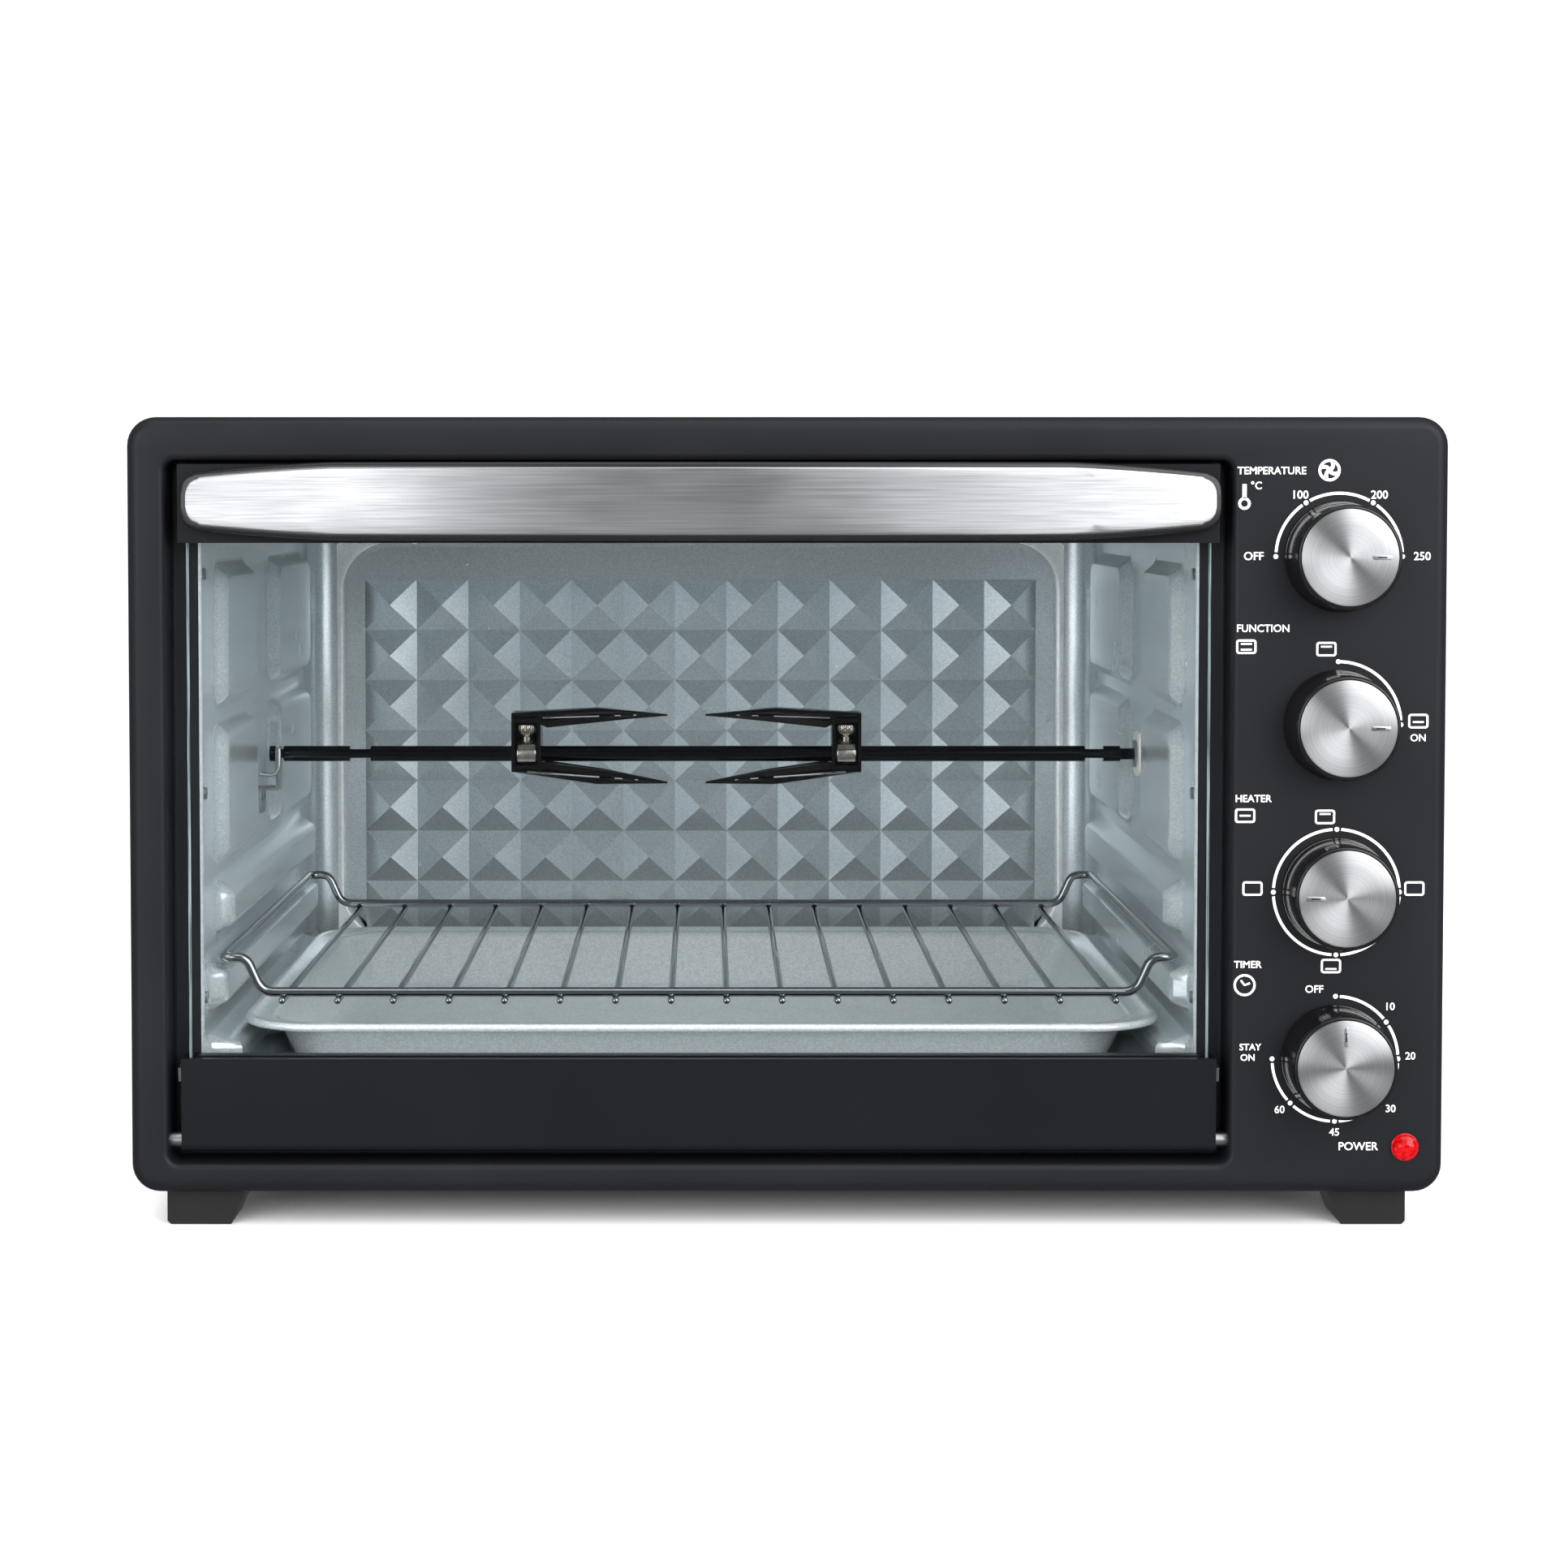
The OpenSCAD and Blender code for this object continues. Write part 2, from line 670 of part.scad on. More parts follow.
recess_x0 = cav_x0 + recess_side;
recess_x1 = cav_x1 - recess_side;
recess_z0 = cav_z0 + recess_low;
recess_z1 = cav_z1 - recess_high;
stud_x0 = recess_x0 + recess_slope + stud_margin;
stud_x1 = recess_x1 - recess_slope - stud_margin;
stud_z0 = recess_z0 + recess_slope + stud_margin / 5;
stud_z1 = recess_z1 - recess_slope - stud_top;
stud_nx = floor((stud_x1 - stud_x0) / stud_pitch);
stud_nz = floor((stud_z1 - stud_z0) / stud_pitch);
stud_px = (stud_x1 - stud_x0) / stud_nx;
stud_pz = (stud_z1 - stud_z0) / stud_nz;

// Saw-tooth outline of n teeth of pitch p and height h
function teeth(n, p, h) = concat([[0, -1]], [for (i = [0 : n - 1]) each [[i * p, 0], [(i + 0.5) * p, h]]],
    [[n * p, 0], [n * p, -1]]);

// The field of pyramids, its base at y = 0 and its points towards -y
module stud_field() {
    intersection() {
        translate([stud_x0, 0, stud_z0]) linear_extrude(stud_z1 - stud_z0) mirror([0, 1])
            polygon(teeth(stud_nx, stud_px, stud_h));
        translate([stud_x0, 0, stud_z0]) rotate([90, 0, 90]) linear_extrude(stud_x1 - stud_x0)
            rotate(90) polygon(teeth(stud_nz, stud_pz, stud_h));
    }
}

module recess_form(grow, y0, y1) {
    hull() {
        deep(y0, y0 + EPS) panel_shape(recess_x0 - grow, recess_x1 + grow, recess_z0 - grow,
            recess_z1 + grow, recess_r + recess_slope / 2 + grow, $fn = 32);
        deep(y1 - EPS, y1) panel_shape(recess_x0 + recess_slope - grow,
            recess_x1 - recess_slope + grow, recess_z0 + recess_slope - grow,
            recess_z1 - recess_slope + grow, recess_r + grow, $fn = 32);
    }
}

module cavity_back() {
    color("#97a6ac") placed() difference() {
        union() {
            block(cav_x0 - cavity_t, cav_x1 + cavity_t, cav_y1, cav_y1 + cavity_t,
                cav_z0 - cavity_t, cav_z1 + cavity_t);
            recess_form(cavity_t, cav_y1, cav_y1 + recess_d + cavity_t);
        }
        difference() {
            recess_form(0, cav_y1 - EPS, cav_y1 + recess_d);
            translate([0, cav_y1 + recess_d, 0]) stud_field();
        }
        translate([0, cav_y1 + recess_d + cavity_t, 0]) stud_field();
    }
}

// Rivets that hold the walls to the frame, the cradle and the motor bracket
module rivet(x, y, z, inside) {
    out = inside > 0 ? x : x + cavity_t;
    rod_x(inside > 0 ? x : x - 1.2, inside > 0 ? x + 1.2 : x, y, z, rivet_r + 1);
    rod_x(x - (inside > 0 ? cavity_t : 0), x + (inside > 0 ? 0 : cavity_t), y, z, rivet_r);
    rod_x(inside > 0 ? x - cavity_t - 1 : out, inside > 0 ? x - cavity_t : out + 1, y, z, rivet_r + 0.6);
}

module wall_rivets() {
    color("#c9ccce") placed() for (z = rivet_zs) {
        rivet(cav_x0, rivet_y, z, 1);
        rivet(cav_x1, rivet_y, z, -1);
    }
}

module upper_heaters() {
    color("#6d6a68") placed() for (y = heater_ys)
        rod_x(cav_x0 - insulator_len - 4, cav_x1 + insulator_len + 4, y, cav_z1 - heater_high, heater_r);
}

module lower_heaters() {
    color("#6d6a68") placed() for (y = heater_ys)
        rod_x(cav_x0 - insulator_len - 4, cav_x1 + insulator_len + 4, y, cav_z0 + heater_low, heater_r);
}

module insulator(y, z) {
    difference() {
        union() {
            rod_x(-insulator_len, 0, y, z, insulator_body_r);
            rod_x(0, 1.5, y, z, insulator_r);
        }
        rod_x(-insulator_len - 1, 3, y, z, heater_r + heater_gap);
    }
}

module heater_insulators() {
    color("#e8e4da") placed() for (y = heater_ys, z = [cav_z0 + heater_low, cav_z1 - heater_high]) {
        translate([cav_x0, 0, 0]) insulator(y, z);
        translate([cav_x1, 0, 0]) mirror([1, 0, 0]) insulator(y, z);
    }
}

// ---------------------------------------------------------------- controls
module control_body(i, w, h, d, tone) {
    z = knob_z1 - i * knob_pitch;
    color(tone) placed() difference() {
        union() {
            rod_y(frame_t, frame_t + bush_len, knob_x, z, bush_r);
            block(knob_x - w / 2, knob_x + w / 2, frame_t + bush_len, frame_t + bush_len + d,
                z - h / 2, z + h / 2);
        }
        rod_y(0, frame_t + shaft_in, knob_x, z, shaft_r + shaft_gap);
    }
}

module thermostat_body() control_body(0, 32, 30, 20, "#c9c5bb");
module function_switch_body() control_body(1, 40, 36, 26, "#efe9dc");
module heat_switch_body() control_body(2, 40, 36, 26, "#efe9dc");
module timer_body() control_body(3, 46, 42, 34, "#b9bcc0");

module d_shaft(r, z0, z1) {
    difference() {
        translate([0, 0, z0]) cylinder(r = r, h = z1 - z0);
        translate([-r - 1, shaft_r * 0.6 + (r - shaft_r), 0]) cube([2 * r + 2, 2 * r, z1 + 1]);
    }
}

module knob_shaft(i) {
    color("#b8babd") placed() facing(knob_x, knob_z1 - i * knob_pitch)
        d_shaft(shaft_r, 2 - frame_t - shaft_in, knob_proj - 6);
}

module knob_body(i) {
    color("#131315") placed() facing(knob_x, knob_z1 - i * knob_pitch) difference() {
        rotate_extrude() polygon([[0, knob_gap], [knob_r, knob_gap], [knob_r, knob_gap + 3],
            [disc_r + 1.9, knob_gap + 5.5], [disc_r + 1.6, knob_proj - 0.8], [disc_r + 0.9, knob_proj],
            [disc_r + 0.1, knob_proj], [disc_r + 0.1, knob_proj - 1.4], [0, knob_proj - 1.4]]);
        d_shaft(shaft_r + shaft_gap, -1, knob_proj - 6 + shaft_gap);
    }
}

// The metal disc in the knob, with its pointer mark turned a degrees from three o'clock
module knob_disc(i, a) {
    color("#c6c7c9") placed() facing(knob_x, knob_z1 - i * knob_pitch) difference() {
        rotate_extrude() polygon([[0, knob_proj - 1.4], [disc_r, knob_proj - 1.4],
            [disc_r, knob_proj - 0.6], [disc_r - 0.4, knob_proj - 0.2], [0, knob_proj - 0.2]]);
        rotate(a) translate([disc_r * 0.45, -0.6, knob_proj - 0.7]) cube([disc_r * 0.4, 1.2, 2]);
    }
}

module temperature_knob() knob_body(0);
module function_knob() knob_body(1);
module heat_knob() knob_body(2);
module timer_knob() knob_body(3);
module temperature_knob_cap() knob_disc(0, 0);
module function_knob_cap() knob_disc(1, 0);
module heat_knob_cap() knob_disc(2, 180);
module timer_knob_cap() knob_disc(3, 90);
module temperature_shaft() knob_shaft(0);
module function_shaft() knob_shaft(1);
module heat_shaft() knob_shaft(2);
module timer_shaft() knob_shaft(3);

module indicator_lens() {
    dome = 2.6;
    dome_r = (lens_r * lens_r + dome * dome) / (2 * dome);
    color("#b3121a") placed() facing(lamp_x, lamp_z) {
        translate([0, 0, -8]) cylinder(r = lens_body_r, h = 8);
        cylinder(r = lens_r, h = 1);
        intersection() {
            translate([0, 0, 1]) cylinder(r = lens_r + 1, h = dome + 1);
            translate([0, 0, 1 + dome - dome_r]) sphere(dome_r);
        }
    }
}

module indicator_lamp() {
    color("#d8b48a") placed() facing(lamp_x, lamp_z) {
        translate([0, 0, -24]) cylinder(r = 3, h = 16);
    }
}

// ---------------------------------------------------------------- services
module spit_motor() {
    color("#a7a9ad") placed() difference() {
        union() {
            block(motor_x, motor_x + motor_size[0], spit_y - motor_size[1] / 2,
                spit_y + motor_size[1] / 2, spit_z - motor_size[2] / 2, spit_z + motor_size[2] / 2);
            rod_x(motor_x + motor_size[0], motor_x + motor_size[0] + 20, spit_y, spit_z, 21);
        }
        rod_x(motor_x - 1, motor_x + 13, spit_y, spit_z, motor_shaft_r + run_gap);
    }
}

module motor_bracket() {
    t = 1;
    wall = cav_x1 + cavity_t;
    color("#b5b7ba") placed() difference() {
        union() {
            block(motor_x - t, motor_x, spit_y - 18, spit_y + 18, spit_z - 30, spit_z + 30);
            for (s = [-1, 1]) {
                block(wall, motor_x, spit_y - 18, spit_y + 18, spit_z + s * 30 - t / 2,
                    spit_z + s * 30 + t / 2);
                block(wall, wall + t, spit_y - 18, spit_y + 18, spit_z + s * 35 - 5.5,
                    spit_z + s * 35 + 5.5);
            }
        }
        rod_x(motor_x - 2, motor_x + 1, spit_y, spit_z, motor_shaft_r + 1);
        for (s = [-34, 34]) rod_x(wall - 1, wall + 2, spit_y, spit_z + s, rivet_r + 0.05);
    }
}

module drive_bushing() {
    color("#dcdad2") placed() difference() {
        union() {
            rod_x(cav_x1 - bushing_flange_t, cav_x1, spit_y, spit_z, bushing_flange_r);
            rod_x(cav_x1, cav_x1 + 8, spit_y, spit_z, bushing_r);
        }
        rod_x(cav_x1 - 3, cav_x1 + 9, spit_y, spit_z, socket_r + run_gap);
    }
}

module spit_cradle() {
    w = 7;
    foot_z = spit_z - 16;
    color("#c4c6c8") placed() difference() {
        union() {
            block(cav_x0, cav_x0 + cradle_t, spit_y - w, spit_y + w, foot_z - 12, foot_z);
            block(cav_x0, cradle_x, spit_y - w, spit_y + w, foot_z - cradle_t, foot_z);
            block(cradle_x - cradle_t, cradle_x, spit_y - w, spit_y + w, foot_z - cradle_t, spit_z + 3);
        }
        rod_x(cradle_x - 3, cradle_x + 1, spit_y, spit_z, neck_r + cradle_gap);
        block(cradle_x - 3, cradle_x + 1, spit_y - neck_r - cradle_gap, spit_y + neck_r + cradle_gap,
            spit_z, spit_z + 10);
        for (dy = [-4, 4]) rod_x(cav_x0 - 1, cav_x0 + 3, spit_y + dy, spit_z - 21, rivet_r + 0.05);
    }
}

module cord_gland() {
    color("#161617") placed() difference() {
        union() {
            rod_y(rear_y - 6, body_d + gland_out, gland_x, gland_z, gland_r);
            rod_y(body_d, body_d + gland_flange_t, gland_x, gland_z, gland_flange_r);
        }
        rod_y(rear_y - 7, body_d + gland_out + 1, gland_x, gland_z, gland_bore_r);
    }
}

module terminal_block() {
    z0 = case_z0 + cover_t;
    color("#e6e3da") placed() difference() {
        block(gland_x - 18, gland_x + 18, rear_y - 50, rear_y - 32, z0, z0 + 16);
        for (dx = [-12, 0, 12]) translate([gland_x + dx, rear_y - 41, z0 + 8]) cylinder(r = 2, h = 10);
    }
}

// ---------------------------------------------------------------- door
module rail_profile(z0, z1, r_low) {
    translate([door_y0, z0 + r_low]) square([door_t, z1 - z0 - r_low]);
    if (r_low > 0) {
        translate([door_y0 + r_low, z0]) square([door_t - 2 * r_low, r_low + 1]);
        for (y = [door_y0 + r_low, door_y1 - r_low]) translate([y, z0 + r_low]) circle(r_low);
    }
}

// A folded rail with closed ends and a slot that takes the glass
module rail(z0, z1, r_low, slot_z0, slot_z1) {
    difference() {
        wide(door_x0, door_x1) rail_profile(z0, z1, r_low);
        wide(door_x0 + rail_t, door_x1 - rail_t) rail_hollow(z0, z1, r_low);
        block(door_x0 + rail_t, door_x1 - rail_t, glass_y - glass_gap, glass_y + glass_t + glass_gap,
            slot_z0, slot_z1);
    }
}

module rail_hollow(z0, z1, r_low) {
    r = max(r_low - rail_t, 0);
    translate([door_y0 + rail_t, z0 + rail_t + r]) square([door_t - 2 * rail_t, z1 - z0 - 2 * rail_t - r]);
    if (r > 0) {
        translate([door_y0 + rail_t + r, z0 + rail_t]) square([door_t - 2 * rail_t - 2 * r, r + 1]);
        for (y = [door_y0 + rail_t + r, door_y1 - rail_t - r])
            translate([y, z0 + rail_t + r]) circle(r);
    }
}

low_rail_z1 = door_z0 + low_rail_h;
top_rail_z0 = door_z1 - top_rail_h;
post_xs = [handle_x0 + handle_post / 2, handle_x1 - handle_post / 2];

module door_bottom_rail() {
    color("#242529") placed() difference() {
        rail(door_z0, low_rail_z1, rail_edge_r, low_rail_z1 - 2 * rail_t, low_rail_z1 + 1);
        rod_x(door_x0 - 1, door_x0 + 3, hinge_y, hinge_z, pin_r + pin_gap);
        rod_x(door_x1 - 3, door_x1 + 1, hinge_y, hinge_z, pin_r + pin_gap);
    }
}

module door_top_rail() {
    color("#242529") placed() difference() {
        rail(top_rail_z0, door_z1, 0, top_rail_z0 - 1, top_rail_z0 + 2 * rail_t);
        for (x = post_xs) rod_y(door_y0 - 1, door_y1 + 1, x, handle_z, screw_r + screw_gap);
    }
}

module door_glass() {
    color("#9fb6bd", 0.35) placed() block(door_x0 + glass_side, door_x1 - glass_side, glass_y,
        glass_y + glass_t, low_rail_z1 - glass_grip, top_rail_z0 + glass_grip);
}

// Height that the handle has lost at a distance from its middle, and its outline inset all round
function taper_at(d) = handle_taper * pow(d / handle_half, 2);

module handle_front(inset) {
    n = 32;
    top = [for (i = [-n : n]) let (d = handle_half * i / n)
        [handle_mid + d, handle_h / 2 - inset - taper_at(d)]];
    intersection() {
        panel_shape(handle_x0 + inset, handle_x1 - inset, handle_z - handle_h / 2 + handle_taper + inset,
            handle_z + handle_h / 2 - handle_taper - inset, handle_corner);
        translate([0, handle_z]) polygon(concat(top,
            [for (i = [2 * n : -1 : 0]) [top[i][0], -top[i][1]]]));
    }
    intersection() {
        translate([handle_x0 + inset + handle_corner, handle_z - handle_h])
            square([handle_x1 - handle_x0 - 2 * (inset + handle_corner), 2 * handle_h]);
        translate([0, handle_z]) polygon(concat(top,
            [for (i = [2 * n : -1 : 0]) [top[i][0], -top[i][1]]]));
    }
}

module bow_disc(r) {
    translate([handle_mid, bow_y]) circle(r, $fn = ARC_FN);
}

module handle_body() {
    color("#1d1d20") placed() difference() {
        intersection() {
            deep(-handle_proj - 1, door_y0) handle_front(0);
            translate([0, 0, handle_z - handle_h]) linear_extrude(2 * handle_h) union() {
                difference() {
                    bow_disc(bow_r - trim_t);
                    bow_disc(bow_r - trim_t - handle_t);
                }
                intersection() {
                    bow_disc(bow_r - trim_t);
                    union() {
                        translate([handle_x0, -handle_proj]) square([handle_post, handle_proj + door_y0]);
                        translate([handle_x1 - handle_post, -handle_proj])
                            square([handle_post, handle_proj + door_y0]);
                    }
                }
            }
        }
        for (x = post_xs) rod_y(-handle_foot, door_y0 + 1, x, handle_z, screw_r + screw_gap / 2);
    }
}

module handle_trim() {
    color("#c8c9cb") placed() intersection() {
        deep(-handle_proj - 1, door_y0) handle_front(trim_margin);
        translate([0, 0, handle_z - handle_h]) linear_extrude(2 * handle_h) difference() {
            bow_disc(bow_r);
            bow_disc(bow_r - trim_t);
        }
    }
}

module handle_screws() {
    color("#b9bbbe") placed() for (x = post_xs) {
        rod_y(-handle_foot + 0.5, door_y1, x, handle_z, screw_r);
        rod_y(door_y1, door_y1 + 1.6, x, handle_z, screw_r + 1.8);
    }
}

module hinge_pins() {
    color("#cfd1d3") placed() for (side = [0, 1])
        translate([side * (open_x0 + open_x1), 0, 0]) mirror([side, 0, 0]) {
            rod_x(open_x0 - frame_t, door_x0 + rail_t + 5, hinge_y, hinge_z, pin_r);
            rod_x(open_x0 - frame_t - 1.5, open_x0 - frame_t, hinge_y, hinge_z, pin_r + 2);
            rod_x(open_x0, door_x0 - 0.4, hinge_y, hinge_z, collar_r);
        }
}

// A sector of a flat ring about the hinge axis, in y and z
module arm_sector(r0, r1, a0, a1) {
    n = 24;
    polygon(concat([for (i = [0 : n]) let (a = a0 + (a1 - a0) * i / n) r1 * [cos(a), sin(a)]],
        [for (i = [n : -1 : 0]) let (a = a0 + (a1 - a0) * i / n) r0 * [cos(a), sin(a)]]));
}

module arm_plate() {
    difference() {
        translate([hinge_y, hinge_z]) {
            arm_sector(arm_r - arm_w / 2, arm_r + arm_w / 2, arm_a0, 100);
            arm_sector(arm_r - arm_w / 2, arm_r + arm_w / 2 + 2, arm_a0 - arm_tab, arm_a0);
        }
        translate([hinge_y + arm_r * cos(arm_a0), hinge_z + arm_r * sin(arm_a0)])
            circle(spring_wire_r + peg_gap);
    }
}

module hinge_arms() {
    color("#b9bbbe") placed() {
        wide(door_x0 - arm_t, door_x0) arm_plate();
        wide(door_x1, door_x1 + arm_t) arm_plate();
    }
}

// Coil spring from the arm's end to the lug, drawn for the left side
module spring_line(x) {
    a = [hinge_y + arm_r * cos(arm_a0), hinge_z + arm_r * sin(arm_a0)];
    b = [lug_y, lug_z];
    run = norm(b - a);
    rod_x(x - spring_wire_r, x + spring_side + 2, a[0], a[1], spring_wire_r);
    rod_x(x - spring_wire_r, x + spring_side + 2, b[0], b[1], spring_wire_r);
    translate([x, a[0], a[1]]) rotate([atan2(b[1] - a[1], b[0] - a[0]) - 90, 0, 0]) {
        cylinder(r = spring_wire_r, h = run);
        translate([0, 0, 13]) cylinder(r = spring_r, h = run - 20);
    }
}

module door_springs() {
    color("#8f9194") placed() for (side = [0, 1])
        translate([side * (open_x0 + open_x1), 0, 0]) mirror([side, 0, 0])
            spring_line(door_x0 - arm_t - spring_side);
}

module spring_brackets() {
    z0 = case_z0 + cover_t;
    x = door_x0 - arm_t;
    color("#a9abae") placed() for (side = [0, 1])
        translate([side * (open_x0 + open_x1), 0, 0]) mirror([side, 0, 0]) difference() {
            union() {
                block(x, x + arm_t, lug_y - lug_w / 2, lug_y + lug_w / 2, z0, lug_z + 4);
                block(x, x + arm_t + 8, lug_y - lug_w / 2, lug_y + lug_w / 2, z0, z0 + 1.5);
            }
            rod_x(x - 1, x + arm_t + 1, lug_y, lug_z, spring_wire_r + peg_gap);
        }
}

// ---------------------------------------------------------------- spit and forks
module spit_rod() {
    s = spit_square / 2;
    color("#3a3d40") placed() {
        rod_x(spit_x0, spit_x0 + 2.6, spit_y, spit_z, spit_r);
        rod_x(spit_x0 + 2.6, cradle_x + 2, spit_y, spit_z, neck_r);
        rod_x(cradle_x + 2, neck_left[0], spit_y, spit_z, spit_r);
        rod_x(neck_left[0], neck_left[1], spit_y, spit_z, neck_r);
        rod_x(neck_left[1], neck_right[0], spit_y, spit_z, spit_r);
        rod_x(neck_right[0], neck_right[1], spit_y, spit_z, neck_r);
        rod_x(neck_right[1], drive_x, spit_y, spit_z, spit_r);
        block(drive_x, socket_x0 + socket_deep - 0.5, spit_y - s, spit_y + s, spit_z - s, spit_z + s);
    }
}

module drive_socket() {
    s = spit_square / 2 + square_gap;
    color("#8d8f92") placed() difference() {
        union() {
            rod_x(socket_x0, socket_x1, spit_y, spit_z, socket_r);
            rod_x(socket_x1, motor_x + 12, spit_y, spit_z, motor_shaft_r);
        }
        block(socket_x0 - 1, socket_x0 + socket_deep, spit_y - s, spit_y + s, spit_z - s, spit_z + s);
    }
}

// A fork that points towards +x, its outer plate at x = 0 and the rod's axis at y = 0, z = 0
module fork_form() {
    h = fork_d / 2;
    difference() {
        union() {
            for (x = [0, fork_w - fork_t]) block(x, x + fork_t, -h, h, -fork_down, fork_up);
            block(0, fork_w, h - fork_t, h, -fork_down, fork_up);
            fork_prong([[0, fork_up], [fork_len * 0.55, fork_up + 2.2], [fork_len, fork_up - 1]],
                [[fork_len, fork_up - 1.8], [fork_len * 0.75, fork_up - 3], [fork_w + 1, fork_up - 7],
                [fork_w, fork_up - 4.5], [0, fork_up - 4.5]], -1);
            fork_prong([[0, -fork_down], [fork_len * 0.55, -fork_down - 6.2],
                [fork_len, -fork_down - 5.9]],
                [[fork_len, -fork_down - 5.1], [fork_len * 0.58, -fork_down + 1],
                [fork_w + 1, -fork_down + 4.6], [fork_w, -fork_down + 3], [0, -fork_down + 3]], 1);
        }
        rod_x(-1, fork_w + 1, 0, 0, spit_r + run_gap);
    }
}

// A prong is a channel that narrows to a point: edge is its closed side seen from the front, and
// lip its open side, which lies towards inside
module fork_prong(edge, lip, inside) {
    intersection() {
        upright(fork_d) polygon(concat(edge, lip));
        translate([0, 0, -fork_down * 3]) linear_extrude(fork_up * 3 + fork_down) difference() {
            polygon(prong_plan(0));
            polygon(prong_plan(fork_t));
        }
    }
    intersection() {
        upright(fork_d) polygon(concat(edge,
            [for (i = [2 : -1 : 0]) [edge[i][0], edge[i][1] + inside * fork_t * (i == 2 ? 0.5 : 1)]]));
        translate([0, 0, -fork_down * 3]) linear_extrude(fork_up * 3 + fork_down)
            polygon(prong_plan(0));
    }
}

module upright(d) {
    translate([0, d / 2, 0]) rotate([90, 0, 0]) linear_extrude(d) children();
}

// Outline of a prong seen from above, narrowed by inset on both sides
function prong_plan(inset) = let (w = fork_d / 2 - 2 - inset, e = inset > 0 ? 0 : 0.8,
        x = fork_len - (inset > 0 ? fork_len * inset / 5 : 0))
    [[-inset, -w], [-inset, w], [fork_w + 4, w], [x, e], [x, -e], [fork_w + 4, -w]];

module collar_form() {
    x0 = fork_t;
    x1 = fork_w - fork_t;
    difference() {
        union() {
            rod_x(x0, x1, 0, 0, collar_out_r);
            translate([fork_w / 2, 0, 0]) cylinder(r = 3.8, h = thumb_z - 0.5);
        }
        rod_x(x0 - 1, x1 + 1, 0, 0, spit_r + run_gap);
        translate([fork_w / 2, 0, 0]) cylinder(r = thumb_shank_r + run_gap, h = thumb_z + 1);
    }
}

module thumb_form() {
    color("#cdcfd1") translate([fork_w / 2, 0, 0]) {
        translate([0, 0, spit_r + 0.1]) cylinder(r = thumb_shank_r, h = thumb_z - spit_r);
        translate([0, 0, thumb_z]) difference() {
            cylinder(r = thumb_r, h = thumb_h);
            for (a = [0 : 30 : 330]) rotate(a) translate([thumb_r, 0, -1]) cylinder(r = 0.6, h = thumb_h + 2);
        }
    }
}

module at_left_fork() {
    placed() translate([fork_left_x, spit_y, spit_z]) children();
}

module at_right_fork() {
    placed() translate([fork_right_x, spit_y, spit_z]) mirror([1, 0, 0]) children();
}

module fork_left() color("#1c1c1e") at_left_fork() fork_form();
module fork_right() color("#1c1c1e") at_right_fork() fork_form();
module fork_collar_left() color("#c3c5c7") at_left_fork() collar_form();
module fork_collar_right() color("#c3c5c7") at_right_fork() collar_form();
module thumbscrew_left() at_left_fork() thumb_form();
module thumbscrew_right() at_right_fork() thumb_form();

// ---------------------------------------------------------------- rack and tray
// A bent wire: each step is a straight length, a bend angle, its radius and a roll before the bend.
// A bend of radius 0 is a tight one, drawn as a knuckle.
module wire_run(steps, r, i = 0) {
    if (i < len(steps)) {
        s = steps[i];
        rotate([0, 90, 0]) cylinder(r = r, h = s[0]);
        translate([s[0], 0, 0]) rotate([s[3], 0, 0]) translate([0, s[2], 0]) {
            if (s[2] > 0) rotate([0, 0, -90]) rotate_extrude(angle = s[1]) translate([s[2], 0]) circle(r);
            else sphere(r + knuckle);
            rotate([0, 0, s[1]]) translate([0, -s[2], 0]) wire_run(steps, r, i + 1);
        }
    }
}

module wire_rack() {
    side = rack_y1 - rack_y0 - 2 * rack_corner_r;
    up = rack_bend;
    x0 = rack_x0 + rack_corner_r + rack_shoulder + rack_step_w;
    half = [[rack_flat, up, 0, 90], [rack_rise_len, up, 0, 180],
        [rack_shoulder, 90, rack_corner_r, 90], [side, 90, rack_corner_r, 0],
        [rack_shoulder, up, 0, -90], [rack_rise_len, up, 0, 180]];
    back = concat([[rack_flat, up, 0, 0]], [for (i = [1 : 5]) half[i]]);
    rod_z = rack_z - wire_r - rod_r + rod_weld;
    pitch = (rack_flat - 2 * rod_margin) / (rod_n - 1);
    color("#c9cbcd") placed() {
        translate([x0, rack_y0, rack_z]) wire_run(concat(half, back), wire_r);
        for (i = [0 : rod_n - 1])
            rod_y(rack_y0 - rod_past, rack_y1 + rod_past, x0 + rod_margin + i * pitch, rod_z, rod_r);
    }
}

module tray_shape(inset, r) {
    panel_shape(tray_x0 + inset, tray_x1 - inset, tray_y0 + inset, tray_y1 - inset, r);
}

// The basin as a solid, grown by grow, from z0 up to z1
module basin_form(grow, z0, z1) {
    hull() {
        translate([0, 0, z0]) linear_extrude(EPS)
            tray_shape(tray_rim + tray_slope - grow, tray_r - tray_rim + grow, $fn = 32);
        translate([0, 0, z1 - EPS]) linear_extrude(EPS)
            tray_shape(tray_rim - grow, tray_r - tray_rim + grow, $fn = 32);
    }
}

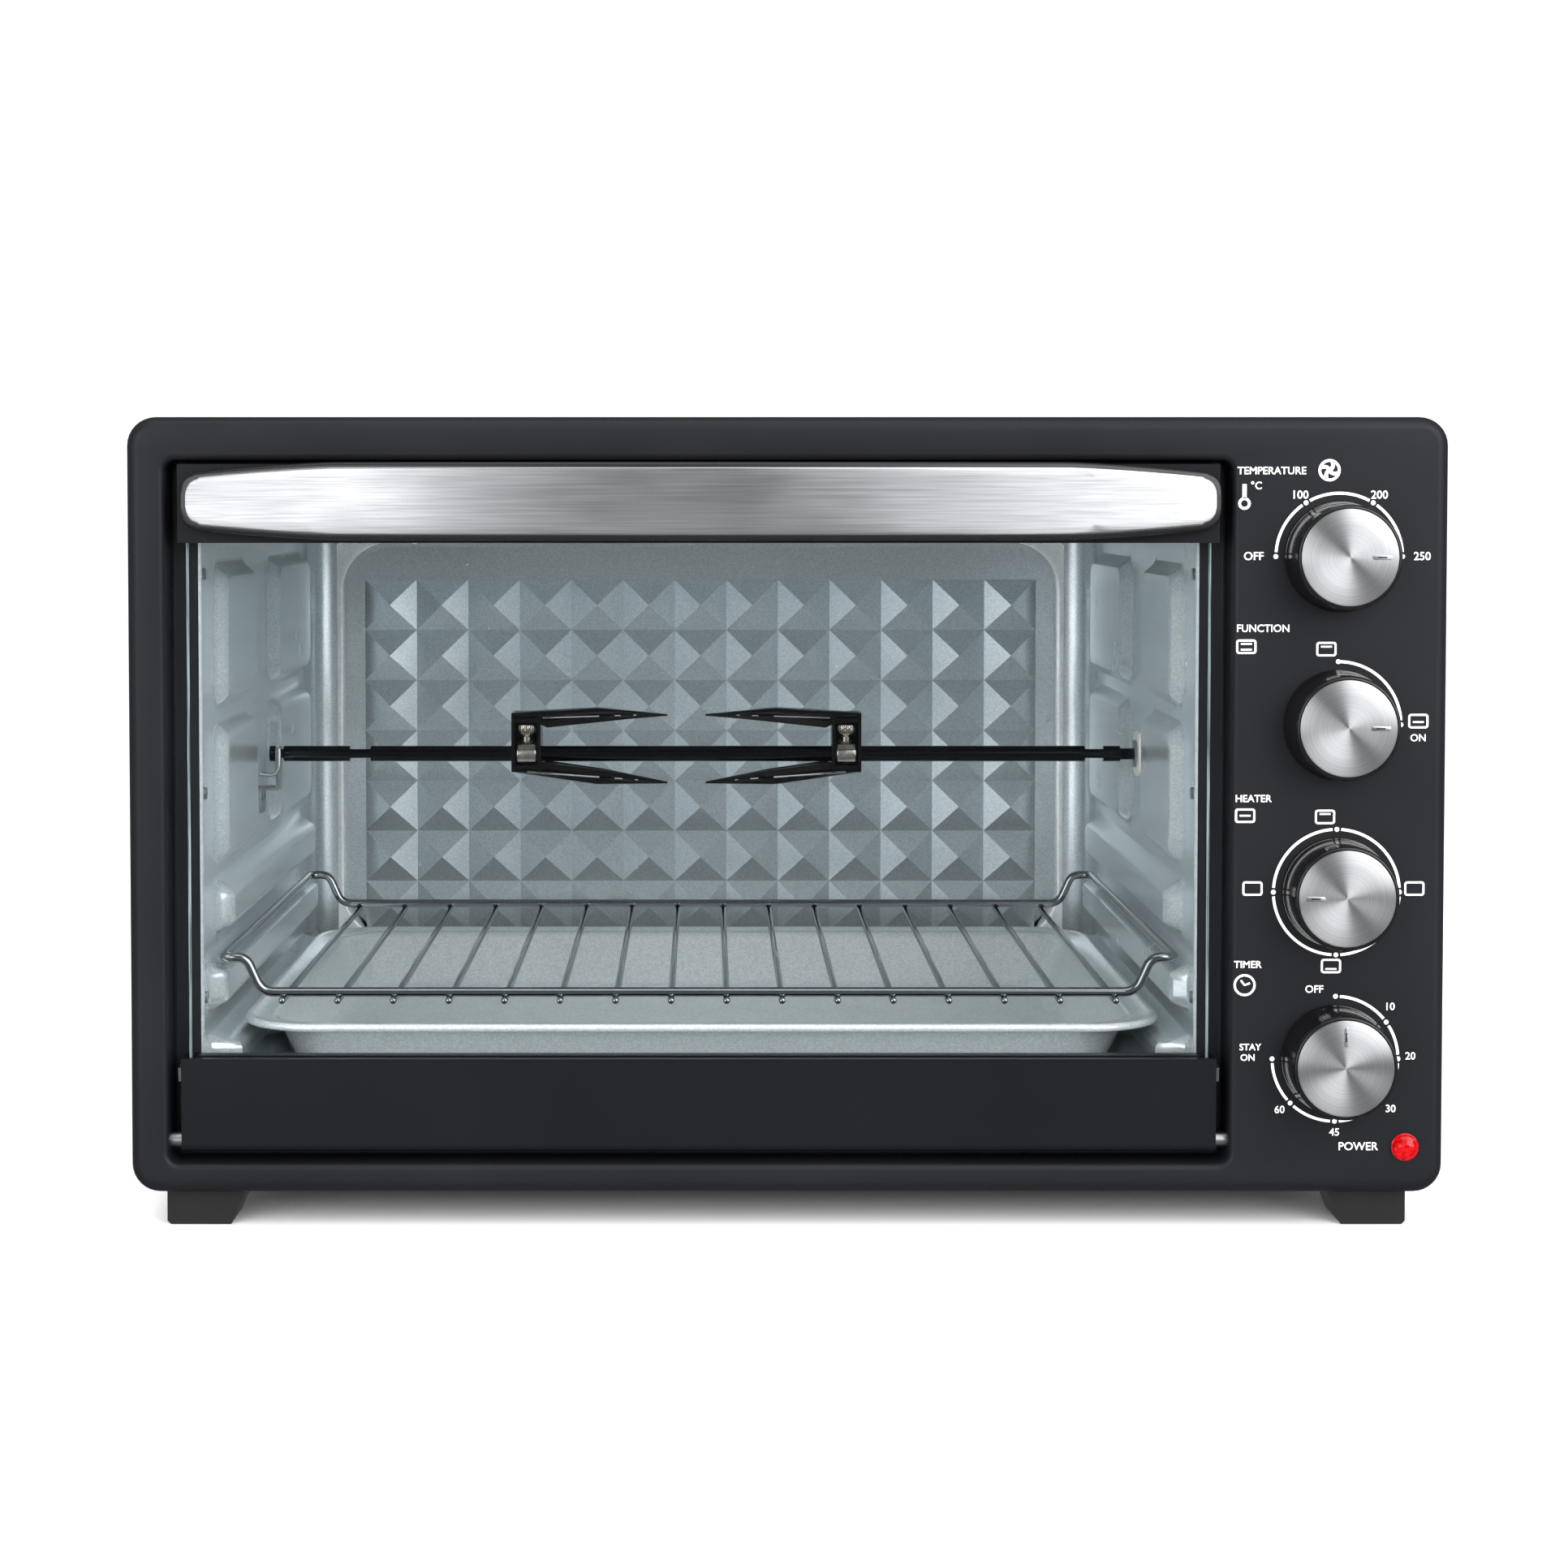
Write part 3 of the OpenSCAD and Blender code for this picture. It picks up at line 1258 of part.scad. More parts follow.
module tray_bead() {
    i = bead_r;
    for (x = [tray_x0 + i, tray_x1 - i])
        translate([x, tray_y0 + tray_r, 0]) rotate([-90, 0, 0])
            cylinder(r = bead_r, h = tray_y1 - tray_y0 - 2 * tray_r);
    for (y = [tray_y0 + i, tray_y1 - i])
        translate([tray_x0 + tray_r, y, 0]) rotate([0, 90, 0])
            cylinder(r = bead_r, h = tray_x1 - tray_x0 - 2 * tray_r);
    for (c = [[tray_x0 + tray_r, tray_y0 + tray_r, 180], [tray_x1 - tray_r, tray_y0 + tray_r, 270],
            [tray_x1 - tray_r, tray_y1 - tray_r, 0], [tray_x0 + tray_r, tray_y1 - tray_r, 90]])
        translate([c[0], c[1], 0]) rotate(c[2]) rotate_extrude(angle = 90)
            translate([tray_r - i, 0]) circle(bead_r);
}

module baking_tray() {
    color("#93a2a8") placed() {
        translate([0, 0, tray_z]) tray_bead();
        translate([0, 0, tray_z - tray_t / 2]) linear_extrude(tray_t) difference() {
            tray_shape(bead_r, tray_r - bead_r);
            tray_shape(tray_rim, tray_r - tray_rim);
        }
        difference() {
            basin_form(tray_t, tray_z - tray_deep, tray_z + tray_t / 2);
            basin_form(0, tray_z - tray_deep + tray_t, tray_z + tray_t / 2 + EPS);
        }
    }
}

front_frame();
outer_cover();
base_plate();
rear_cover();
feet();
cavity_left_wall();
cavity_right_wall();
cavity_ceiling();
cavity_floor();
cavity_back();
thermostat_body();
function_switch_body();
heat_switch_body();
timer_body();
spit_motor();
motor_bracket();
spit_cradle();
drive_bushing();
indicator_lens();
indicator_lamp();
upper_heaters();
lower_heaters();
heater_insulators();
cord_gland();
terminal_block();
case_screws();
wall_rivets();
hinge_pins();
door_springs();
spring_brackets();
door_glass();
door_top_rail();
door_bottom_rail();
handle_body();
handle_trim();
handle_screws();
hinge_arms();
temperature_knob();
temperature_knob_cap();
temperature_shaft();
function_knob();
function_knob_cap();
function_shaft();
heat_knob();
heat_knob_cap();
heat_shaft();
timer_knob();
timer_knob_cap();
timer_shaft();
spit_rod();
drive_socket();
fork_left();
fork_right();
fork_collar_left();
fork_collar_right();
thumbscrew_left();
thumbscrew_right();
wire_rack();
baking_tray();
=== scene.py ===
"""Countertop rotisserie oven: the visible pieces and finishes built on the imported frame.

Lengths in this file are millimetres in the frame's own axes (+X right, +Y into the oven, +Z up)
and become metres where a mesh is made.
"""

from __future__ import annotations

import sys

import logging
import math
from collections.abc import Sequence
from dataclasses import dataclass, field
from enum import Enum

import bmesh
import bpy
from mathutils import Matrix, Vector


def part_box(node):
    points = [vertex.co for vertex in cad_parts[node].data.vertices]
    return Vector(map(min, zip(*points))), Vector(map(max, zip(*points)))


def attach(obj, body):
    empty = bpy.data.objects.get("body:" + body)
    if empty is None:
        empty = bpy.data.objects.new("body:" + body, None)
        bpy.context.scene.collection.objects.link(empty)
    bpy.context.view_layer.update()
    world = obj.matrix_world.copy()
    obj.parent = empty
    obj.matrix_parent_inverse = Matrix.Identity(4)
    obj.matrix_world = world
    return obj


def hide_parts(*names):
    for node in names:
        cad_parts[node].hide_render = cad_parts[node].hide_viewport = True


Point = tuple[float, float, float]
Flat = tuple[float, float]

MM = 0.001
FRONT_Y = -188.0  # the case's front face
MOUTH_X: Flat = (-248.0, 174.0)  # the chamber's mouth
MOUTH_Z: Flat = (38.0, 315.0)
JAMB = 20.0  # from the front face back to the ledge
WALL = 0.8  # chamber sheet
LOG = logging.getLogger("oven")


def linear(code: str) -> tuple[float, float, float, float]:
    """Turn an sRGB hex colour into linear light.

    Args:
        code: the colour as six hex digits.

    Returns:
        The red, green, blue and alpha values that a shader takes.
    """
    parts = [int(code[i:i + 2], 16) / 255 for i in (0, 2, 4)]
    lin = [c / 12.92 if c <= 0.04045 else ((c + 0.055) / 1.055) ** 2.4 for c in parts]
    return (lin[0], lin[1], lin[2], 1.0)


def per_mm(size: float) -> float:
    """The texture scale whose pattern repeats once in a size in millimetres."""
    return 1 / (size * MM)


def add_node(tree: bpy.types.NodeTree, kind: str, settings: dict | None = None,
             links: dict | None = None) -> bpy.types.Node:
    """Add one node with its settings and the links that feed it.

    Args:
        tree: the node tree.
        kind: the node's type name.
        settings: values for the node's inputs or properties; "stops" fills a colour ramp.
        links: the output socket that feeds each named or numbered input.

    Returns:
        The new node.
    """
    node = tree.nodes.new(kind)
    for key, value in (settings or {}).items():
        if key == "stops":
            ramp = node.color_ramp
            while len(ramp.elements) < len(value):
                ramp.elements.new(0.5)
            for element, (place, colour) in zip(ramp.elements, value):
                element.position = place
                element.color = colour
        elif isinstance(key, int) or key in node.inputs:
            node.inputs[key].default_value = value
        else:
            setattr(node, key, value)
    for key, socket in (links or {}).items():
        tree.links.new(socket, node.inputs[key])
    return node


# ------------------------------------------------------------------ outlines and meshes


def arc_points(centre: Flat, radius: float, start: float, end: float, steps: int) -> list[Flat]:
    """Points on a circular arc.

    Args:
        centre: the arc's centre.
        radius: its radius.
        start: the first angle in degrees.
        end: the last angle in degrees.
        steps: the number of equal steps.

    Returns:
        steps + 1 points.
    """
    found = []
    for i in range(steps + 1):
        a = math.radians(start + (end - start) * i / steps)
        found.append((centre[0] + radius * math.cos(a), centre[1] + radius * math.sin(a)))
    return found


def circle(centre: Flat, radius: float, steps: int = 16) -> list[Flat]:
    """Points evenly spaced round a circle."""
    return arc_points(centre, radius, 0, 360 - 360 / steps, steps - 1)


def rounded_outline(u0: float, u1: float, v0: float, v1: float, radius: float,
                    corner: int = 8, side: int = 10) -> list[Flat]:
    """A rounded rectangle whose point count doesn't depend on its size.

    Args:
        u0: lowest first coordinate.
        u1: highest first coordinate.
        v0: lowest second coordinate.
        v1: highest second coordinate.
        radius: the corner radius.
        corner: steps in each corner.
        side: steps along each straight side.

    Returns:
        The points, counter-clockwise.
    """
    r = max(radius, 0.01)
    corners = [((u1 - r, v0 + r), 270), ((u1 - r, v1 - r), 0), ((u0 + r, v1 - r), 90),
               ((u0 + r, v0 + r), 180)]
    points: list[Flat] = []
    for i, (c, a) in enumerate(corners):
        points.extend(arc_points(c, r, a, a + 90, corner))
        nxt, b = corners[(i + 1) % 4]
        last, first = points[-1], arc_points(nxt, r, b, b, 1)[0]
        for k in range(1, side):
            t = k / side
            points.append((last[0] + (first[0] - last[0]) * t, last[1] + (first[1] - last[1]) * t))
    return points


def shade(colour: Sequence[float], factor: float) -> tuple[float, float, float, float]:
    """A linear colour made darker or lighter, no brighter than white."""
    red, green, blue = (min(c * factor, 1.0) for c in colour[:3])
    return (red, green, blue, 1.0)


def smooth_rise(distance: float, width: float) -> float:
    """A pressed wall's rise from 0 to 1 over a sloping edge."""
    t = min(max(distance / width, 0.0), 1.0)
    return t * t * (3 - 2 * t)


def height_at(line: Sequence[Flat], share: float) -> float:
    """Height on a broken line.

    Args:
        line: the share of the length and the height of each corner.
        share: the share of the length that is asked for.

    Returns:
        The height there.
    """
    for (a, p), (b, q) in zip(line, line[1:]):
        if share <= b:
            return p + (q - p) * ((share - a) / (b - a))
    return line[-1][1]


def inside_by(u: float, v: float, box: tuple[float, float, float, float], radius: float) -> float:
    """How far a point lies inside a rounded rectangle (below 0 outside).

    Args:
        u: first coordinate.
        v: second coordinate.
        box: lowest and highest first coordinate, then lowest and highest second.
        radius: corner radius.

    Returns:
        The distance to the outline.
    """
    du = abs(u - (box[0] + box[1]) / 2) - (box[1] - box[0]) / 2 + radius
    dv = abs(v - (box[2] + box[3]) / 2) - (box[3] - box[2]) / 2 + radius
    out = math.hypot(max(du, 0), max(dv, 0)) + min(max(du, dv), 0) - radius
    return -out


@dataclass
class Shape:
    """Points in millimetres and the faces between them, gathered before they become a mesh."""

    points: list[Point] = field(default_factory=list)
    faces: list[tuple[int, ...]] = field(default_factory=list)

    def add(self, points: Sequence[Point], faces: Sequence[tuple[int, ...]]) -> None:
        """Add points with the faces between them.

        Args:
            points: the points.
            faces: the faces, which number these points from 0.
        """
        n = len(self.points)
        self.points.extend(points)
        self.faces.extend(tuple(i + n for i in f) for f in faces)

    def loft(self, loops: Sequence[Sequence[Point]], closed: bool = True, caps: bool = False,
             ring: bool = False) -> None:
        """Skin loops that have the same number of points.

        Args:
            loops: the loops in order.
            closed: whether each loop closes on itself.
            caps: whether the first and last loop are filled.
            ring: whether the last loop joins the first.
        """
        n = len(loops[0])
        faces: list[tuple[int, ...]] = []
        for k in range(len(loops) if ring else len(loops) - 1):
            a, b = k * n, (k + 1) % len(loops) * n
            for i in range(n if closed else n - 1):
                j = (i + 1) % n
                faces.append((a + i, a + j, b + j, b + i))
        if caps:
            faces.append(tuple(range(n)))
            faces.append(tuple(range((len(loops) - 1) * n, len(loops) * n)))
        self.add([p for loop in loops for p in loop], faces)

    def sheet(self, rows: Sequence[Sequence[Point]], offset: Point) -> None:
        """A grid of points as a closed thin sheet.

        Args:
            rows: the grid of one face.
            offset: from that face to the other.
        """
        m, n = len(rows), len(rows[0])
        front = [p for row in rows for p in row]
        back = [(p[0] + offset[0], p[1] + offset[1], p[2] + offset[2]) for p in front]
        faces: list[tuple[int, ...]] = []
        for i in range(m - 1):
            for j in range(n - 1):
                a = i * n + j
                faces.append((a, a + 1, a + n + 1, a + n))
                faces.append(tuple(k + m * n for k in (a, a + n, a + n + 1, a + 1)))
        edge = ([j for j in range(n)] + [i * n + n - 1 for i in range(1, m)]
                + [(m - 1) * n + j for j in range(n - 2, -1, -1)]
                + [i * n for i in range(m - 2, 0, -1)])
        for a, b in zip(edge, edge[1:] + edge[:1]):
            faces.append((b, a, a + m * n, b + m * n))
        self.add(front + back, faces)

    def lathe(self, profile: Sequence[Flat], base: Point, axis: Point, steps: int = 64) -> None:
        """Turn a profile of radius and height about an axis.

        Args:
            profile: radius and distance along the axis.
            base: the point where that distance is 0.
            axis: the direction of the axis.
            steps: steps round the axis.
        """
        w = Vector(axis).normalized()
        u = w.orthogonal().normalized()
        v = w.cross(u)
        loops = []
        for r, h in profile:
            loop = []
            for i in range(steps):
                a = 2 * math.pi * i / steps
                p = Vector(base) + w * h + (u * math.cos(a) + v * math.sin(a)) * max(r, 0.001)
                loop.append(tuple(p))
            loops.append(loop)
        self.loft(loops, caps=True)

    def tube(self, path: Sequence[Point], radius: float, sides: int = 12,
             closed: bool = False) -> None:
        """Sweep a round section along a path.

        Args:
            path: the points of its centreline.
            radius: the section's radius.
            sides: points of the section.
            closed: whether the path closes on itself.
        """
        line = [Vector(p) for p in path]
        n = len(line)
        tangents = []
        for i in range(n):
            a = line[(i - 1) % n] if closed or i > 0 else line[i]
            b = line[(i + 1) % n] if closed or i < n - 1 else line[i]
            tangents.append((b - a).normalized())
        side = tangents[0].orthogonal().normalized()
        loops = []
        for i in range(n):
            side = (side - tangents[i] * side.dot(tangents[i])).normalized()
            up = tangents[i].cross(side)
            loops.append([tuple(line[i] + (side * math.cos(2 * math.pi * k / sides)
                                           + up * math.sin(2 * math.pi * k / sides)) * radius)
                          for k in range(sides)])
        self.loft(loops, caps=not closed, ring=closed)

    def block(self, low: Point, high: Point, edge: float = 0.3) -> None:
        """A block with small chamfers along X.

        Args:
            low: its lowest corner.
            high: its highest corner.
            edge: the chamfer.
        """
        loops = []
        for x, e in ((low[0], edge), (low[0] + edge, 0), (high[0] - edge, 0), (high[0], edge)):
            o = rounded_outline(low[1] + e, high[1] - e, low[2] + e, high[2] - e, edge, 2, 1)
            loops.append([(x, a, b) for a, b in o])
        self.loft(loops, caps=True)

    def build(self, name: str, material: bpy.types.Material, sharp: float = 32.0,
              origin: Point = (0.0, 0.0, 0.0)) -> bpy.types.Object:
        """Make the mesh object.

        Args:
            name: the object's name.
            material: its material.
            sharp: the angle in degrees above which an edge stays sharp.
            origin: where the object's own origin lies.

        Returns:
            The object, in place.
        """
        mesh = bpy.data.meshes.new(name)
        mesh.from_pydata([tuple((c - o) * MM for c, o in zip(p, origin)) for p in self.points],
                         [], self.faces)
        work = bmesh.new()
        work.from_mesh(mesh)
        bmesh.ops.remove_doubles(work, verts=work.verts, dist=1e-6)
        bmesh.ops.recalc_face_normals(work, faces=work.faces)
        work.to_mesh(mesh)
        work.free()
        mesh.materials.append(material)
        mesh.polygons.foreach_set("use_smooth", [True] * len(mesh.polygons))
        mesh.set_sharp_from_angle(angle=math.radians(sharp))
        obj = bpy.data.objects.new(name, mesh)
        obj.location = tuple(o * MM for o in origin)
        bpy.context.scene.collection.objects.link(obj)
        return obj


def carve(obj: bpy.types.Object, cutter: Shape) -> None:
    """Cut a shape out of an object and keep the result as its mesh.

    Args:
        obj: the object.
        cutter: the closed shape to take away.
    """
    tool = cutter.build(obj.name + "_cutter", obj.data.materials[0])
    cut = obj.modifiers.new("cut", "BOOLEAN")
    cut.operation, cut.solver, cut.object = "DIFFERENCE", "EXACT", tool
    graph = bpy.context.evaluated_depsgraph_get()
    mesh = bpy.data.meshes.new_from_object(obj.evaluated_get(graph))
    obj.modifiers.clear()
    obj.data = mesh
    bpy.data.objects.remove(tool)
    mesh.polygons.foreach_set("use_smooth", [True] * len(mesh.polygons))
    mesh.set_sharp_from_angle(angle=math.radians(32))


# ------------------------------------------------------------------ finishes


class Metal(Enum):
    """Base colours of the bare and plated metals."""

    CHROME = "D9DADB"
    ZINC = "B4B6B8"
    NICKEL = "CFCBC0"
    DARK_STEEL = "2A2C2F"
    RACK_CHROME = "A3A6A9"
    TUBE = "6B645F"


@dataclass(frozen=True)
class Finish:
    """What every finish shares: its name and its slot."""

    name: str
    slot: str

    def surface(self, tree: bpy.types.NodeTree, place: bpy.types.NodeSocket) -> bpy.types.Node:
        """Build the shader; each finish has its own."""
        raise NotImplementedError

    def material(self) -> bpy.types.Material:
        """Make the material once and reuse it.

        Returns:
            The Blender material of this finish.
        """
        known = bpy.data.materials.get(self.name)
        if known is not None:
            return known
        made = bpy.data.materials.new(self.name)
        made.use_nodes = True
        tree = made.node_tree
        tree.nodes.clear()
        place = add_node(tree, "ShaderNodeTexCoord").outputs["Object"]
        shader = self.surface(tree, place)
        add_node(tree, "ShaderNodeOutputMaterial", links={"Surface": shader.outputs[0]})
        return made


@dataclass(frozen=True)
class PowderCoat(Finish):
    """Polyester powder coat baked on sheet steel. The powder melts into a film with a fine
    orange peel, so highlights are soft and broken up a little, and the colour is even."""

    colour: str = "121317"
    roughness: float = 0.42
    peel_mm: float = 1.4
    relief: float = 0.05

    def surface(self, tree: bpy.types.NodeTree, place: bpy.types.NodeSocket) -> bpy.types.Node:
        """Mottle the colour and roughness slightly and lift an orange-peel bump.

        Args:
            tree: the material's nodes.
            place: the object's own coordinates.

        Returns:
            The shader.
        """
        peel = add_node(tree, "ShaderNodeTexNoise", {"Scale": per_mm(self.peel_mm), "Detail": 3.0},
                        {"Vector": place})
        broad = add_node(tree, "ShaderNodeTexNoise", {"Scale": per_mm(60), "Detail": 2.0},
                         {"Vector": place})
        base = linear(self.colour)
        tone = add_node(tree, "ShaderNodeValToRGB",
                        {"stops": [(0.3, shade(base, 0.88)), (0.7, shade(base, 1.12))]},
                        {"Fac": broad.outputs["Fac"]})
        rough = add_node(tree, "ShaderNodeMapRange",
                         {"To Min": self.roughness - 0.05, "To Max": self.roughness + 0.06},
                         {"Value": peel.outputs["Fac"]})
        bump = add_node(tree, "ShaderNodeBump", {"Strength": self.relief, "Distance": 0.0003},
                        {"Height": peel.outputs["Fac"]})
        return add_node(tree, "ShaderNodeBsdfPrincipled", {"IOR": 1.5, "Specular IOR Level": 0.24},
                        {"Base Color": tone.outputs["Color"], "Roughness": rough.outputs["Result"],
                         "Normal": bump.outputs["Normal"]})


@dataclass(frozen=True)
class FlakeCoat(Finish):
    """Silicone non-stick coat with aluminium flake, sprayed and baked on sheet steel. The flake
    gives a fine grain and a broad metallic sheen over a blue-grey ground."""

    colour: str = "D6DEE2"
    roughness: float = 0.24
    metallic: float = 0.7
    flake_mm: float = 0.7
    grain: float = 0.12

    def surface(self, tree: bpy.types.NodeTree, place: bpy.types.NodeSocket) -> bpy.types.Node:
        """Vary the colour flake by flake, drawn coarser than the real 0.05 mm so that it shows.

        Args:
            tree: the material's nodes.
            place: the object's own coordinates.

        Returns:
            The shader.
        """
        flake = add_node(tree, "ShaderNodeTexVoronoi", {"Scale": per_mm(self.flake_mm)},
                         {"Vector": place})
        cloud = add_node(tree, "ShaderNodeTexNoise", {"Scale": per_mm(25), "Detail": 3.0},
                         {"Vector": place})
        value = add_node(tree, "ShaderNodeSeparateColor", links={"Color": flake.outputs["Color"]})
        base = linear(self.colour)
        low, high = shade(base, 1 - self.grain), shade(base, 1 + self.grain)
        tone = add_node(tree, "ShaderNodeValToRGB", {"stops": [(0.0, low), (1.0, high)]},
                        {"Fac": value.outputs["Red"]})
        rough = add_node(tree, "ShaderNodeMapRange",
                         {"To Min": self.roughness - 0.05, "To Max": self.roughness + 0.07},
                         {"Value": cloud.outputs["Fac"]})
        bump = add_node(tree, "ShaderNodeBump", {"Strength": 0.12, "Distance": 0.0006},
                        {"Height": cloud.outputs["Fac"]})
        return add_node(tree, "ShaderNodeBsdfPrincipled", {"Metallic": self.metallic, "IOR": 1.5},
                        {"Base Color": tone.outputs["Color"], "Roughness": rough.outputs["Result"],
                         "Normal": bump.outputs["Normal"]})


@dataclass(frozen=True)
class Plating(Finish):
    """Bare or plated metal, polished, tumbled or heat-darkened. Fine handling marks break up the
    roughness, and slow variation keeps long reflections from looking drawn."""

    metal: Metal = Metal.CHROME
    roughness: float = 0.08
    marks_mm: float = 3.0
    stain: float = 0.06

    def surface(self, tree: bpy.types.NodeTree, place: bpy.types.NodeSocket) -> bpy.types.Node:
        """Mottle roughness and colour; the metal keeps the shader's own IOR.

        Args:
            tree: the material's nodes.
            place: the object's own coordinates.

        Returns:
            The shader.
        """
        marks = add_node(tree, "ShaderNodeTexNoise",
                         {"Scale": per_mm(self.marks_mm), "Detail": 4.0}, {"Vector": place})
        base = linear(self.metal.value)
        low = shade(base, 1 - self.stain)
        tone = add_node(tree, "ShaderNodeValToRGB", {"stops": [(0.35, low), (0.65, base)]},
                        {"Fac": marks.outputs["Fac"]})
        rough = add_node(tree, "ShaderNodeMapRange",
                         {"To Min": self.roughness * 0.7, "To Max": self.roughness * 1.5},
                         {"Value": marks.outputs["Fac"]})
        return add_node(tree, "ShaderNodeBsdfPrincipled", {"Metallic": 1.0},
                        {"Base Color": tone.outputs["Color"], "Roughness": rough.outputs["Result"]})


@dataclass(frozen=True)
class BrushedSteel(Finish):
    """Stainless sheet brushed along X with an abrasive belt. The scratches, drawn 0.5 mm apart so
    that they show, spread highlights up and down and leave long faint streaks."""

    roughness: float = 0.3
    scratch_mm: float = 0.5
    length_mm: float = 60.0

    def surface(self, tree: bpy.types.NodeTree, place: bpy.types.NodeSocket) -> bpy.types.Node:
        """Stretch a fine noise along X for the scratches and a broad one for handling smudges.

        Args:
            tree: the material's nodes.
            place: the object's own coordinates.

        Returns:
            The shader.
        """
        stretch = add_node(tree, "ShaderNodeMapping",
                           {"Scale": (per_mm(self.length_mm), per_mm(4),
                                      per_mm(self.scratch_mm))}, {"Vector": place})
        grain = add_node(tree, "ShaderNodeTexNoise", {"Scale": 1.0, "Detail": 3.0},
                         {"Vector": stretch.outputs["Vector"]})
        wide = add_node(tree, "ShaderNodeMapping",
                        {"Scale": (per_mm(70), per_mm(70), per_mm(26))}, {"Vector": place})
        smudge = add_node(tree, "ShaderNodeTexNoise", {"Scale": 1.0, "Detail": 2.0},
                          {"Vector": wide.outputs["Vector"]})
        tone = add_node(tree, "ShaderNodeValToRGB",
                        {"stops": [(0.3, linear("B4B5B8")), (0.7, linear("D6D7D9"))]},
                        {"Fac": grain.outputs["Fac"]})
        rough = add_node(tree, "ShaderNodeMapRange",
                         {"From Min": 0.3, "From Max": 0.7, "To Min": self.roughness - 0.06,
                          "To Max": self.roughness + 0.1}, {"Value": smudge.outputs["Fac"]})
        bump = add_node(tree, "ShaderNodeBump", {"Strength": 0.08, "Distance": 0.0002},
                        {"Height": grain.outputs["Fac"]})
        along = add_node(tree, "ShaderNodeTangent", {"direction_type": "RADIAL", "axis": "Z"})
        return add_node(tree, "ShaderNodeBsdfPrincipled", {"Metallic": 1.0, "Anisotropic": 0.7,
                                                           "Anisotropic Rotation": 0.25},
                        {"Base Color": tone.outputs["Color"], "Roughness": rough.outputs["Result"],
                         "Normal": bump.outputs["Normal"], "Tangent": along.outputs["Tangent"]})


@dataclass(frozen=True)
class SpunAluminium(Finish):
    """Aluminium disc faced on a lathe. The tool's rings stand 0.1 mm apart, drawn 0.4 mm so that
    they show, and turn each light into a wedge that runs through the centre."""

    roughness: float = 0.38

    def surface(self, tree: bpy.types.NodeTree, place: bpy.types.NodeSocket) -> bpy.types.Node:
        """Lay rings about the disc's own Y axis and spread highlights across them.

        Args:
            tree: the material's nodes.
            place: the object's own coordinates.

        Returns:
            The shader.
        """
        flat = add_node(tree, "ShaderNodeVectorMath", {"operation": "MULTIPLY", 1: (1.0, 0.0, 1.0)},
                        {0: place})
        radius = add_node(tree, "ShaderNodeVectorMath", {"operation": "LENGTH"},
                          {0: flat.outputs["Vector"]})
        rings = add_node(tree, "ShaderNodeTexNoise",
                         {"noise_dimensions": "1D", "Scale": per_mm(0.4), "Detail": 2.0},
                         {"W": radius.outputs["Value"]})
        tone = add_node(tree, "ShaderNodeValToRGB",
                        {"stops": [(0.3, linear("C6C7C9")), (0.7, linear("E0E1E3"))]},
                        {"Fac": rings.outputs["Fac"]})
        rough = add_node(tree, "ShaderNodeMapRange",
                         {"To Min": self.roughness - 0.06, "To Max": self.roughness + 0.06},
                         {"Value": rings.outputs["Fac"]})
        round_y = add_node(tree, "ShaderNodeTangent", {"direction_type": "RADIAL", "axis": "Y"})
        return add_node(tree, "ShaderNodeBsdfPrincipled", {"Metallic": 1.0, "Anisotropic": 0.96,
                                                           "Anisotropic Rotation": 0.25},
                        {"Base Color": tone.outputs["Color"], "Roughness": rough.outputs["Result"],
                         "Tangent": round_y.outputs["Tangent"]})


@dataclass(frozen=True)
class Moulding(Finish):
    """Injection-moulded plastic or fired ceramic. The mould's spark texture or the body's grain
    gives a low bump, and the colour drifts very little."""

    colour: str = "141416"
    roughness: float = 0.3
    grain_mm: float = 0.8
    relief: float = 0.04

    def surface(self, tree: bpy.types.NodeTree, place: bpy.types.NodeSocket) -> bpy.types.Node:
        """Grain the roughness and bump at the mould texture's size.

        Args:
            tree: the material's nodes.
            place: the object's own coordinates.

        Returns:
            The shader.
        """
        grain = add_node(tree, "ShaderNodeTexNoise",
                         {"Scale": per_mm(self.grain_mm), "Detail": 3.0}, {"Vector": place})
        base = linear(self.colour)
        tone = add_node(tree, "ShaderNodeValToRGB",
                        {"stops": [(0.3, shade(base, 0.9)), (0.7, base)]},
                        {"Fac": grain.outputs["Fac"]})
        rough = add_node(tree, "ShaderNodeMapRange",
                         {"To Min": self.roughness - 0.05, "To Max": self.roughness + 0.07},
                         {"Value": grain.outputs["Fac"]})
        bump = add_node(tree, "ShaderNodeBump", {"Strength": self.relief, "Distance": 0.0002},
                        {"Height": grain.outputs["Fac"]})
        return add_node(tree, "ShaderNodeBsdfPrincipled", {"IOR": 1.5},
                        {"Base Color": tone.outputs["Color"], "Roughness": rough.outputs["Result"],
                         "Normal": bump.outputs["Normal"]})


